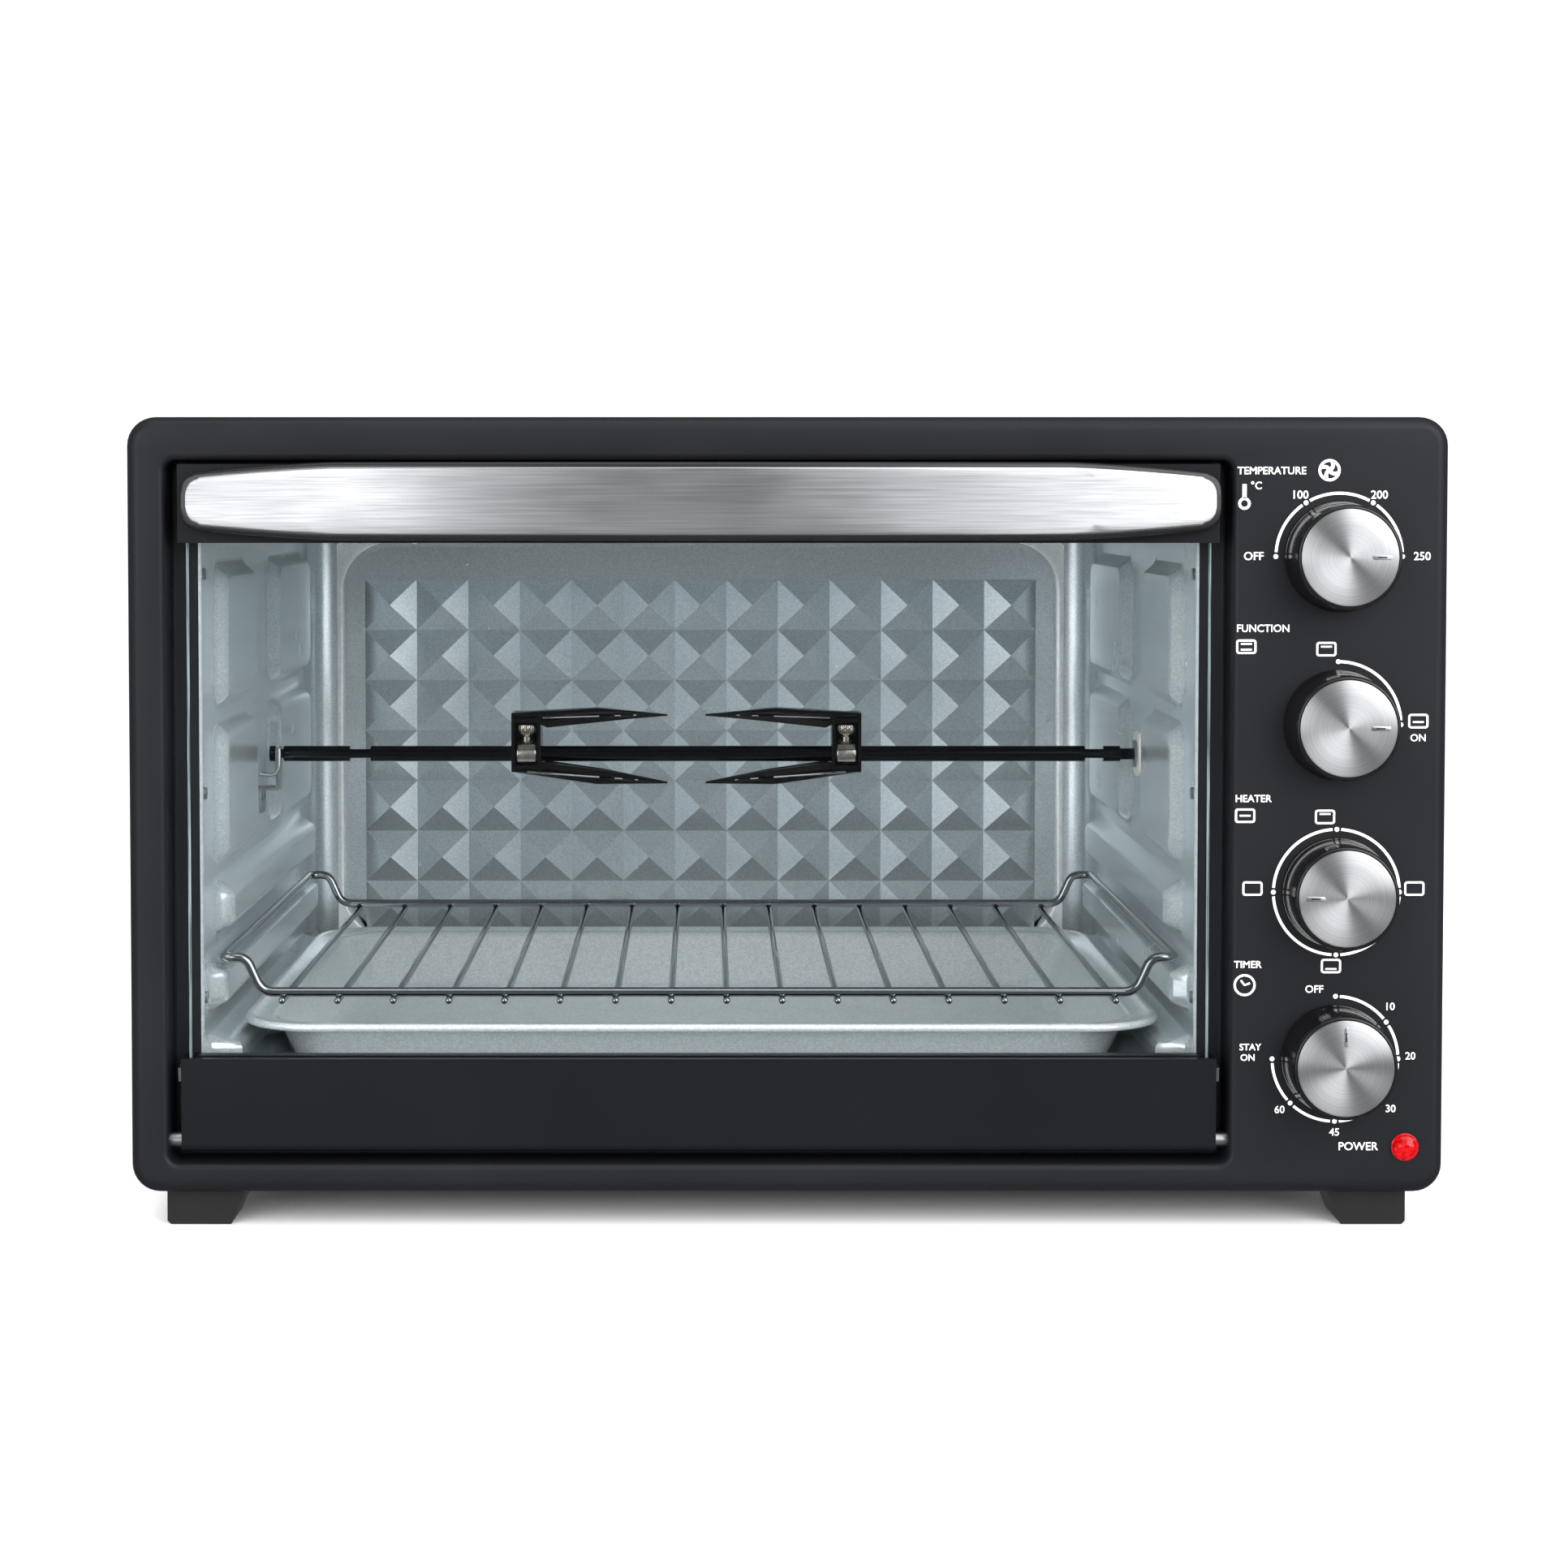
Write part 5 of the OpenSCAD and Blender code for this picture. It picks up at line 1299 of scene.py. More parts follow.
@dataclass
class Knob:
    """One control: a black skirted knob, its spun disc and the raised pointer."""

    name: str
    angle: float
    radius: float = 23.0
    disc: float = 20.0
    proj: float = 21.5
    gap: float = 0.6
    bore_r: float = 3.15

    def build(self) -> None:
        """Turn the knob and its disc, and set the pointer."""
        box = Box.of(self.name + "_knob")
        cx, cz, face = box.middle(0), box.middle(2), FRONT_Y
        body = self.name + "_control"
        rim = self.disc + 1.9
        profile = [(self.radius - 0.6, self.gap), (self.radius, self.gap + 0.6),
                   (self.radius, self.gap + 2.6), (self.radius - 0.3, self.gap + 3.2),
                   (rim + 0.25, self.gap + 5.0), (rim, self.gap + 5.8), (rim - 0.3, self.proj - 1.4),
                   (rim - 0.5, self.proj - 0.6), (rim - 0.9, self.proj - 0.15),
                   (rim - 1.3, self.proj), (self.disc + 0.25, self.proj),
                   (self.disc + 0.1, self.proj - 0.3), (self.disc + 0.1, self.proj - 1.4),
                   (0, self.proj - 1.4)]
        knob = Shape()
        knob.lathe([(0, self.gap)] + profile, (cx, face, cz), (0, -1, 0), 96)
        obj = knob.build(self.name + "_knob_body", KNOB_BLACK.material(), sharp=35)
        bore = Shape()
        bore.lathe([(self.bore_r, -1), (self.bore_r, self.proj - 5.9)], (cx, face, cz), (0, -1, 0), 24)
        carve(obj, bore)
        place(obj, body, KNOB_BLACK, self.name + "_knob")
        disc = Shape()
        disc.lathe([(0, self.proj - 1.35), (self.disc, self.proj - 1.35),
                    (self.disc, self.proj - 0.55), (self.disc - 0.15, self.proj - 0.3),
                    (self.disc - 0.5, self.proj - 0.2), (self.disc * 0.6, self.proj - 0.2),
                    (self.disc * 0.2, self.proj - 0.2), (0, self.proj - 0.2)],
                   (cx, face, cz), (0, -1, 0), 96)
        piece = disc.build(self.name + "_knob_disc", DISC.material(), origin=(cx, face, cz))
        place(piece, body, DISC, self.name + "_knob_cap")
        self.pointer(body, cx, cz, face - self.proj + 0.2)

    def pointer(self, body: str, cx: float, cz: float, y: float) -> None:
        """Set the small embossed pointer near the rim.

        Args:
            body: the knob's body.
            cx: the knob's centre across.
            cz: the knob's centre height.
            y: the disc's face.
        """
        a = math.radians(self.angle)
        along, across = Vector((math.cos(a), 0, math.sin(a))), Vector((-math.sin(a), 0, math.cos(a)))
        for tag, r0, r1, half, lift, finish in (
                ("pointer", 9.0, 17.2, 1.0, 0.16, TRIM), ("pointer_line", 11.0, 15.0, 0.28, 0.2,
                                                          KNOB_BLACK)):
            mid, reach = (r0 + r1) / 2, (r1 - r0) / 2
            outline = rounded_outline(-reach, reach, -half, half, half * 0.98, 6, 4)
            shape = Shape()
            loops = []
            for k, h in ((1.0, 0.12), (1.0, -lift * 0.6), (0.82, -lift)):
                loops.append([tuple(Vector((cx, y + h, cz)) + along * (mid + u * (1 - (1 - k) * 0.3))
                                    + across * (v * k)) for u, v in outline])
            shape.loft(loops, caps=True)
            place(shape.build(f"{self.name}_{tag}", finish.material()), body, finish)


@dataclass
class Legends:
    """White printed legends: scales round the knobs, generic words, numbers and oven symbols."""

    ink: float = 0.06
    arc_r: float = 26.3
    arc_w: float = 1.15

    def text(self, name: str, words: str, x: float, z: float, size: float,
             align: str = "CENTER") -> None:
        """Print a word as a thin mesh.

        Args:
            name: the piece's name.
            words: the generic word or number.
            x: its place across.
            z: its baseline's middle height.
            size: letter size.
            align: horizontal alignment.
        """
        curve = bpy.data.curves.new(name, "FONT")
        curve.body, curve.size = words, size * MM
        curve.align_x, curve.align_y = align, "CENTER"
        curve.extrude, curve.offset = self.ink * MM / 2, 0.00004
        curve.resolution_u = 3
        source = bpy.data.objects.new(name + "_curve", curve)
        bpy.context.scene.collection.objects.link(source)
        graph = bpy.context.evaluated_depsgraph_get()
        mesh = bpy.data.meshes.new_from_object(source.evaluated_get(graph))
        bpy.data.objects.remove(source)
        for v in mesh.vertices:
            v.co = Vector((x * MM + v.co.x, (FRONT_Y - self.ink / 2) * MM + v.co.z, z * MM + v.co.y))
        mesh.materials.clear()
        mesh.materials.append(INK.material())
        for face in mesh.polygons:
            face.material_index = 0
        obj = bpy.data.objects.new(name, mesh)
        bpy.context.scene.collection.objects.link(obj)
        place(obj, "case", INK)

    def band(self, shape: Shape, outline: Sequence[Flat], inner: Sequence[Flat]) -> None:
        """Add a flat printed band between two closed outlines.

        Args:
            shape: the shape that takes it.
            outline: its outer line.
            inner: its inner line.
        """
        y0, y1 = FRONT_Y + 0.02, FRONT_Y - self.ink
        shape.loft([[(x, y0, z) for x, z in outline], [(x, y1, z) for x, z in outline],
                    [(x, y1, z) for x, z in inner], [(x, y0, z) for x, z in inner]], ring=True)

    def stroke(self, shape: Shape, path: Sequence[Flat], width: float) -> None:
        """Add a flat printed stroke along a path.

        Args:
            shape: the shape that takes it.
            path: its middle line.
            width: its width.
        """
        sides: list[list[Flat]] = [[], []]
        for i, p in enumerate(path):
            a, b = path[max(i - 1, 0)], path[min(i + 1, len(path) - 1)]
            d = Vector((b[0] - a[0], b[1] - a[1])).normalized()
            for s in (0, 1):
                k = (0.5 - s) * width
                sides[s].append((p[0] - d.y * k, p[1] + d.x * k))
        line = sides[0] + sides[1][::-1]
        n = len(path)
        y0, y1 = FRONT_Y + 0.02, FRONT_Y - self.ink
        loops = [[(line[i][0], y0, line[i][1]), (line[i][0], y1, line[i][1]),
                  (line[2 * n - 1 - i][0], y1, line[2 * n - 1 - i][1]),
                  (line[2 * n - 1 - i][0], y0, line[2 * n - 1 - i][1])] for i in range(n)]
        shape.loft(loops, caps=True)

    def scale(self, name: str, x: float, z: float, spans: Sequence[Flat],
              marks: Sequence[float]) -> None:
        """Print the arcs of one scale with its marks.

        Args:
            name: the piece's name.
            x: the knob's centre across.
            z: the knob's centre height.
            spans: the arcs, from one angle to another, in degrees.
            marks: angles that have a dot.
        """
        shape = Shape()
        for a, b in spans:
            steps = max(int(abs(b - a) / 4), 2)
            self.stroke(shape, arc_points((x, z), self.arc_r, a, b, steps), self.arc_w)
        for a in marks:
            c = arc_points((x, z), self.arc_r, a, a, 1)[0]
            self.band(shape, circle(c, 1.0), circle(c, 0.02))
        place(shape.build(name, INK.material()), "case", INK)

    def symbol(self, name: str, x: float, z: float, bars: Sequence[float], w: float = 8.4,
               h: float = 6.0) -> None:
        """Print an oven symbol: a rounded box with heater lines.

        Args:
            name: the piece's name.
            x: its middle across.
            z: its middle height.
            bars: heights of the heater lines inside it.
            w: its width.
            h: its height.
        """
        shape = Shape()
        o = rounded_outline(x - w / 2, x + w / 2, z - h / 2, z + h / 2, 1.2, 4, 2)
        i = rounded_outline(x - w / 2 + 0.8, x + w / 2 - 0.8, z - h / 2 + 0.8, z + h / 2 - 0.8,
                            0.6, 4, 2)
        self.band(shape, o, i)
        for bar in bars:
            self.stroke(shape, [(x - w * 0.27, z + bar), (x + w * 0.27, z + bar)], 0.7)
        place(shape.build(name, INK.material()), "case", INK)

    def fan(self, name: str, x: float, z: float, r: float = 4.6) -> None:
        """Print the fan symbol: a ring, a hub and four curved blades.

        Args:
            name: the piece's name.
            x: its middle across.
            z: its middle height.
            r: its outer radius.
        """
        shape = Shape()
        self.band(shape, circle((x, z), r, 32), circle((x, z), r - 1.1, 32))
        self.band(shape, circle((x, z), 0.8), circle((x, z), 0.02))
        for k in range(4):
            a = 90 * k + 20
            path = [arc_points((x, z), t, a + t * 14, a + t * 14, 1)[0]
                    for t in (0.6, 1.4, 2.3, 3.1, 3.7)]
            self.stroke(shape, path, 1.5)
        place(shape.build(name, INK.material()), "case", INK)

    def build(self) -> None:
        """Print every legend on the panel."""
        box = [Box.of(n + "_knob") for n in ("temperature", "function", "heat", "timer")]
        x = box[0].middle(0)
        zt, zf, zh, zm = (b.middle(2) for b in box)
        self.text("word_temperature", "TEMPERATURE", x - 42.5, zt + 35.5, 4.35, "LEFT")
        self.fan("symbol_fan", x - 4.3, zt + 35.8)
        self.scale("scale_temperature", x, zt, [(176, 126), (118, 62), (54, 4)],
                   [180, 122, 58, 0])
        for tag, words, dx, dz in (("off", "OFF", -35.5, 0), ("100", "100", -16.5, 25.5),
                                   ("200", "200", 16.5, 25.5), ("250", "250", 34.5, 0)):
            self.text("mark_temperature_" + tag, words, x + dx, zt + dz, 4.8)
        thermo = Shape()
        self.stroke(thermo, [(x - 39.5, zt + 30), (x - 39.5, zt + 24)], 1.7)
        self.band(thermo, circle((x - 39.5, zt + 22), 2.6), circle((x - 39.5, zt + 22), 1.5))
        place(thermo.build("symbol_thermometer", INK.material()), "case", INK)
        self.text("mark_celsius", "°C", x - 34.6, zt + 29.3, 4.4)
        self.text("word_function", "FUNCTION", x - 42.5, zf + 40, 4.35, "LEFT")
        self.symbol("symbol_function", x - 38.3, zf + 32.5, [1.2, -1.2])
        self.scale("scale_function", x, zf, [(88, 4)], [90, 0])
        self.symbol("symbol_function_top", x - 5, zf + 31.5, [1.0])
        self.symbol("symbol_function_side", x + 33.5, zf + 1.5, [-0.4])
        self.text("mark_function_on", "ON", x + 33.5, zf - 5.6, 4.2)
        self.text("word_heater", "HEATER", x - 42.5, zh + 39, 4.2, "LEFT")
        self.symbol("symbol_heater", x - 38.3, zh + 32, [0.0])
        self.scale("scale_heater", x, zh, [(86, 4), (-4, -86), (-94, -176), (176, 94)],
                   [0, 90, 180, 270])
        self.symbol("symbol_heat_top", x - 5, zh + 31.5, [1.2])
        self.symbol("symbol_heat_right", x + 32.5, zh + 1.5, [])
        self.symbol("symbol_heat_left", x - 35.0, zh + 1.5, [])
        self.symbol("symbol_heat_low", x - 2, zh - 31.0, [-1.2])
        self.text("word_timer", "TIMER", x - 42.5, zm + 39.5, 4.2, "LEFT")
        clock = Shape()
        self.band(clock, circle((x - 38, zm + 31), 4.6, 32), circle((x - 38, zm + 31), 3.7, 32))
        self.stroke(clock, [(x - 39.6, zm + 33), (x - 38, zm + 31), (x - 35.8, zm + 31.8)], 0.8)
        place(clock.build("symbol_clock", INK.material()), "case", INK)
        self.scale("scale_timer", x, zm, [(86, 40), (32, 4), (-4, -41), (-49, -86), (-94, -131),
                                          (-139, -176)], [90, 36, 0, -45, -90, -135, 180])
        for tag, words, a, r in (("off", "OFF", 107, 30.5), ("10", "10", 44, 31.5),
                                 ("20", "20", 2, 31.5), ("30", "30", -42, 31.5),
                                 ("45", "45", -90, 31.0), ("60", "60", -137, 31.5)):
            p = arc_points((x, zm), r, a, a, 1)[0]
            self.text("mark_timer_" + tag, words, p[0], p[1], 4.4)
        self.text("mark_timer_stay", "STAY", x - 35.5, zm + 4.8, 3.9)
        self.text("mark_timer_on", "ON", x - 36.5, zm + 0.4, 3.9)
        lens = Box.of("indicator_lens")
        self.text("word_power", "POWER", lens.middle(0) - 19.5, lens.middle(2), 4.8)


@dataclass
class Indicator:
    """The red indicator lens: a collar and a faceted dome."""

    radius: float = 5.75
    dome: float = 2.6

    def build(self) -> None:
        """Turn the lens in few, flat facets."""
        b = Box.of("indicator_lens")
        base = (b.middle(0), FRONT_Y, b.middle(2))
        collar = Shape()
        collar.lathe([(4.2, -8), (4.2, 0), (self.radius - 0.2, 0), (self.radius, 0.25),
                      (self.radius, 0.8), (self.radius - 0.3, 1.0)], base, (0, -1, 0), 48)
        r = self.radius - 0.35
        for k in range(3):
            a0, a1 = math.radians(k * 24), math.radians((k + 1) * 24)
            collar.lathe([(r * math.cos(a0), 1 + self.dome * math.sin(a0)),
                          (r * math.cos(a1), 1 + self.dome * math.sin(a1))], base, (0, -1, 0), 10)
        obj = collar.build("indicator_faceted_lens", LENS.material(), sharp=12)
        place(obj, "case", LENS, "indicator_lens")


# ------------------------------------------------------------------ inside the oven


@dataclass
class SpitFork:
    """One fork of the spit: a folded steel channel that ends in two ribbed prongs, with its
    nickel collar and thumbscrew."""

    side: str
    rod_r: float = 3.75
    width: float = 14.0
    depth: float = 18.0
    up: float = 20.0
    down: float = 8.5
    length: float = 74.5
    sheet: float = 1.5
    axis: Point = field(init=False)
    plate_x: float = field(init=False)

    def at(self, x: float, y: float, z: float) -> Point:
        """A point of the fork, drawn to point towards +X, set in the frame."""
        s = 1 if self.side == "left" else -1
        return (self.plate_x + s * x, self.axis[1] + y, self.axis[2] + z)

    def half_width(self, share: float) -> float:
        """Half the prong's width at a share of its length."""
        return (self.depth / 2 - 2) * min(1.0, (1 - share) * 1.28) + 0.25

    def prong(self, shape: Shape, edge: Sequence[Flat], lip: Sequence[Flat]) -> None:
        """Loft one channel prong.

        Args:
            shape: the shape that takes it.
            edge: share of the length and height along its closed side.
            lip: the same along its open side.
        """
        loops = []
        n = 28
        for i in range(n + 1):
            t = i / n
            x = self.width * 0.1 + (self.length - self.width * 0.1) * t
            w = self.half_width(t)
            a, b = height_at(edge, x / self.length), height_at(lip, x / self.length)
            mid, half = (a + b) / 2, abs(a - b) / 2 + 0.02
            s = 1 if a > b else -1
            ring = []
            for c, k in ((-1, -1), (-1, -0.5), (-1.0, -0.16), (-0.9, 0.0), (-1.0, 0.16), (-1, 0.55),
                         (-0.82, 0.9), (-0.4, 1.0), (0.4, 1.0), (0.82, 0.9), (1, 0.55), (1, -1),
                         (0.72, -1), (0.6, 0.6), (-0.6, 0.6), (-0.72, -1)):
                groove = 0.7 if (c, k) == (-0.9, 0.0) and 0.16 < t < 0.62 else 0.0
                ring.append(self.at(x, c * w + groove, mid + s * k * half))
            loops.append(ring)
        shape.loft(loops, caps=True)

    def build(self) -> None:
        """Build the fork, the collar and the thumbscrew."""
        box = Box.of("fork_" + self.side)
        rod = Box.of("spit_rod")
        self.axis = (0.0, rod.middle(1), rod.middle(2))
        self.plate_x = box.low[0] if self.side == "left" else box.high[0]
        shape = Shape()
        h, t = self.depth / 2, self.sheet
        for x0 in (0.0, self.width - t):
            self.plate(shape, x0, x0 + t)
        corners = [self.at(a, b, c) for a, b, c in ((0, h - t, -self.down), (self.width, h, self.up))]
        low = tuple(min(p[k] for p in corners) for k in range(3))
        high = tuple(max(p[k] for p in corners) for k in range(3))
        shape.block(low, high, 0.4)
        up, down = self.up, self.down
        self.prong(shape, [(0, up), (0.55, up + 2.2), (1, up - 1)],
                   [(0, up - 4.5), (0.18, up - 5), (0.22, up - 7), (0.75, up - 3.2), (1, up - 1.8)])
        self.prong(shape, [(0, -down), (0.55, -down - 6.2), (1, -down - 5.9)],
                   [(0, -down + 3), (0.18, -down + 3.6), (0.22, -down + 4.6),
                    (0.58, -down + 1), (1, -down - 5.1)])
        obj = shape.build("fork_channel_" + self.side, OXIDE.material(), sharp=40)
        place(obj, self.side + "_fork", OXIDE, "fork_" + self.side)
        self.slot_painted_highlights()
        self.collar()

    def slot_painted_highlights(self) -> None:
        """Lay chrome beads along the pressed slots on the prongs' near faces: painted highlights of the
        slots' edges.
        """
        shape = Shape()
        spans = (((0.2, 0.56), 0.45, 1), ((0.66, 0.7), 0.35, 1), ((0.78, 0.8), 0.4, 1),
                 ((0.1, 0.56), 0.6, -1), ((0.66, 0.71), 0.4, -1), ((0.79, 0.81), 0.4, -1))
        for (a, b), half, side in spans:
            line = []
            for k in range(9):
                u = a + (b - a) * k / 8
                high = self.up - 2.6 + 1.6 * u if side > 0 else -self.down + 1.0 - 6.2 * u
                line.append(self.at(self.length * u, -self.half_width(u) + 0.25 * half, high))
            shape.tube(line, half, 10)
        obj = shape.build("fork_slot_painted_highlights_" + self.side, CHROME.material())
        place(obj, self.side + "_fork", CHROME)

    def plate(self, shape: Shape, x0: float, x1: float) -> None:
        """Add one plate of the channel with the rod's hole in it.

        Args:
            shape: the shape that takes it.
            x0: its near face.
            x1: its far face.
        """
        h, r = self.depth / 2, self.rod_r + 0.12
        outer, inner = [], []
        for y, z in rounded_outline(-h, h, -self.down, self.up, 2.2, 6, 8):
            outer.append((y, z))
            a = math.atan2(z, y)
            inner.append((r * math.cos(a), r * math.sin(a)))
        shape.loft([[self.at(x0, y, z) for y, z in outer], [self.at(x1, y, z) for y, z in outer],
                    [self.at(x1, y, z) for y, z in inner], [self.at(x0, y, z) for y, z in inner]],
                   ring=True)

    def collar(self) -> None:
        """Turn the collar with its boss, and the thumbscrew with its knurled head."""
        mid = self.width / 2
        t, r = self.sheet, self.rod_r + 0.12
        shape = Shape()
        base = self.at(t, 0, 0)
        s = 1 if self.side == "left" else -1
        wide = self.width - 2 * t
        ring = [(r, 0), (6.2, 0), (6.9, 0.7), (7.0, 1.6), (7.0, wide - 1.6), (6.9, wide - 0.7),
                (6.2, wide), (r, wide)]
        n = 40
        loops = []
        for k in range(n):
            a = 2 * math.pi * k / n
            loops.append([(base[0] + s * hgt, base[1] + q * math.cos(a), base[2] + q * math.sin(a))
                          for q, hgt in ring])
        shape.loft(loops, ring=True)
        shape.lathe([(3.7, 5.2), (3.8, 8.2), (3.4, 8.6), (2.1, 8.6)], self.at(mid, 0, 0), (0, 0, 1), 32)
        obj = shape.build("fork_collar_ring_" + self.side, NICKEL.material(), sharp=40)
        place(obj, self.side + "_fork", NICKEL, "fork_collar_" + self.side)
        screw = Shape()
        top = self.at(mid, 0, 0)
        screw.lathe([(1.7, self.rod_r + 0.2), (2.0, self.rod_r + 0.7), (2.0, 9.2)], top, (0, 0, 1), 24)
        loops = []
        n = 72
        for hgt, q, cut in ((9.0, 3.6, 0.0), (9.4, 4.2, 0.3), (10.2, 4.55, 0.45), (12.0, 4.6, 0.5),
                            (13.8, 4.55, 0.45), (14.6, 4.1, 0.3), (15.0, 3.3, 0.0)):
            loops.append([(top[0] + (q - cut * (k % 3 == 0)) * math.cos(2 * math.pi * k / n),
                           top[1] + (q - cut * (k % 3 == 0)) * math.sin(2 * math.pi * k / n),
                           top[2] + hgt) for k in range(n)])
        screw.loft(loops, caps=True)
        obj = screw.build("thumbscrew_knurled_" + self.side, NICKEL.material(), sharp=50)
        place(obj, self.side + "_thumbscrew", NICKEL, "thumbscrew_" + self.side)


@dataclass
class SpitCradle:
    """The cradle that carries the spit's free end on the left wall, and the wire that guides it."""

    wire_r: float = 0.9
    bend_r: float = 4.0

    def build(self) -> None:
        """Dress the cradle and bend the guide wire beside it."""
        dress("spit_cradle", ZINC)
        b = Box.of("spit_cradle")
        hook = Shape()
        rod = Box.of("spit_rod")
        y, z = rod.middle(1), rod.middle(2)
        path = [(b.low[0] + 1.0, y - 8.2, z - 9), (b.low[0] + 4, y - 8.6, z - 9.4)]
        path += [(b.low[0] + 6 + self.bend_r * math.sin(math.radians(a)), y - 8.6,
                  z - 5.4 - self.bend_r * math.cos(math.radians(a))) for a in range(0, 91, 15)]
        path += [(b.low[0] + 10, y - 8.4, z - 2), (b.low[0] + 10, y - 8.0, z + 3)]
        hook.tube(path, self.wire_r, 10)
        obj = hook.build("spit_guide_wire", ZINC.material())
        place(obj, "case", ZINC)


@dataclass
class WireRack:
    """The chromed rack: one bent frame wire with raised side rails, and sixteen cross rods."""

    wire: float = 2.1
    rod: float = 1.5
    rods: int = 16
    drop: float = 15.0
    shoulder: float = 5.0
    corner: float = 5.0
    rise: float = 66.0

    def rounded_path(self, corners: Sequence[Point], radii: Sequence[float]) -> list[Point]:
        """Round each corner of a closed path.

        Args:
            corners: its corner points.
            radii: the bend's reach from each corner.

        Returns:
            The points of the smooth line.
        """
        found: list[Point] = []
        n = len(corners)
        for i in range(n):
            p = Vector(corners[i])
            a, b = Vector(corners[i - 1]), Vector(corners[(i + 1) % n])
            da, db = (a - p), (b - p)
            reach = min(radii[i], da.length * 0.5, db.length * 0.5)
            p0, p2 = p + da.normalized() * reach, p + db.normalized() * reach
            for k in range(9):
                t = k / 8
                q = p0 * (1 - t) ** 2 + p * (2 * t * (1 - t)) + p2 * t * t
                found.append(tuple(q))
        return found

    def build(self) -> None:
        """Sweep the frame wire and the rods."""
        box = Box.of("wire_rack")
        w = self.wire
        x0, x1 = box.low[0] + w, box.high[0] - w
        z1 = box.high[2] - w
        z0 = z1 - self.drop
        y0, y1 = box.low[1] + 4.0, box.high[1] - 4.0
        step = self.drop / math.tan(math.radians(self.rise))
        in0 = self.corner + self.shoulder
        corners, radii = [], []
        for y, sign in ((y0, 1), (y1, -1)):
            run = [(x0, y, z1), (x0 + in0, y, z1), (x0 + in0 + step, y, z0),
                   (x1 - in0 - step, y, z0), (x1 - in0, y, z1), (x1, y, z1)]
            corners += run if sign > 0 else run[::-1]
            radii += [self.corner, 4.2, 5.5, 5.5, 4.2, self.corner]
        shape = Shape()
        shape.tube(self.rounded_path(corners, radii), w, 16, closed=True)
        first = x0 + in0 + step + 9
        pitch = (x1 - x0 - 2 * (in0 + step + 9)) / (self.rods - 1)
        z = z0 - w - self.rod + 0.3
        for i in range(self.rods):
            x = first + i * pitch
            ya, yb = box.low[1], box.high[1]
            loops = []
            for y, r in ((ya, 0.9), (ya + 0.35, 1.35), (ya + 0.9, self.rod), (yb - 0.9, self.rod),
                         (yb - 0.35, 1.35), (yb, 0.9)):
                loops.append([(x + r * math.cos(2 * math.pi * k / 12), y,
                               z + r * math.sin(2 * math.pi * k / 12)) for k in range(12)])
            shape.loft(loops, caps=True)
        obj = shape.build("wire_rack_chromed", CHROME.material(), sharp=45)
        place(obj, "rack", CHROME, "wire_rack")


@dataclass
class BakingTray:
    """The baking tray: a pressed basin with a flat rim and a rolled bead."""

    bead: float = 1.8
    rim: float = 14.0
    slope: float = 12.0
    corner: float = 34.0
    sheet: float = 0.8

    def build(self) -> None:
        """Loft from the bead over the rim and down into the basin, then back below."""
        b = Box.of("baking_tray")
        axis = b.high[2] - self.bead
        steps = [(self.bead - self.bead * math.cos(math.radians(a)), self.bead * math.sin(math.radians(a)))
                 for a in range(-100, 91, 14)]
        steps += [(self.bead * 2.2, self.bead * 0.75), (self.bead * 3.0, self.sheet * 0.5),
                  (self.rim - 3.0, self.sheet * 0.5), (self.rim - 1.2, self.sheet * 0.35),
                  (self.rim + 0.3, -0.6), (self.rim + 1.4, -2.4)]
        bottom = b.low[2] + self.sheet - axis
        steps += [(self.rim + self.slope - 2.2, bottom + 4.4), (self.rim + self.slope - 0.4, bottom + 1.8),
                  (self.rim + self.slope + 2.0, bottom + 0.4), (self.rim + self.slope + 5.0, bottom)]
        under = [(self.rim + self.slope + 5.0, bottom - self.sheet),
                 (self.rim + self.slope + 1.6, bottom - self.sheet + 0.4),
                 (self.rim + self.slope - 1.3, bottom + 1.4), (self.rim + 0.6, -2.6),
                 (self.rim - 0.8, -0.9), (self.rim - 2.0, -0.4), (self.bead * 2.4, -0.4)]

        def loop(inset: float, z: float) -> list[Point]:
            """One loop of the tray at an inset and a height over the rim's axis."""
            o = rounded_outline(b.low[0] + inset, b.high[0] - inset, b.low[1] + inset,
                                b.high[1] - inset, max(self.corner - inset * 0.75, 9), 14, 10)
            return [(x, y, axis + z) for x, y in o]

        shape = Shape()
        loops = [loop(i, z) for i, z in steps]
        low = [loop(i, z) for i, z in under]
        shape.loft(loops)
        shape.loft(low)
        centre = [loop(90.0, bottom), loop(90.0, bottom - self.sheet)]
        shape.loft([loops[-1], centre[0]])
        shape.loft([low[0], centre[1]])
        n = len(centre[0])
        shape.add(centre[0], [tuple(range(n))])
        shape.add(centre[1], [tuple(range(n))])
        shape.loft([low[-1], loops[0]])
        obj = shape.build("baking_tray_pressed", TRAY_COAT.material(), sharp=60)
        place(obj, "tray", TRAY_COAT, "baking_tray")


# ------------------------------------------------------------------ studio


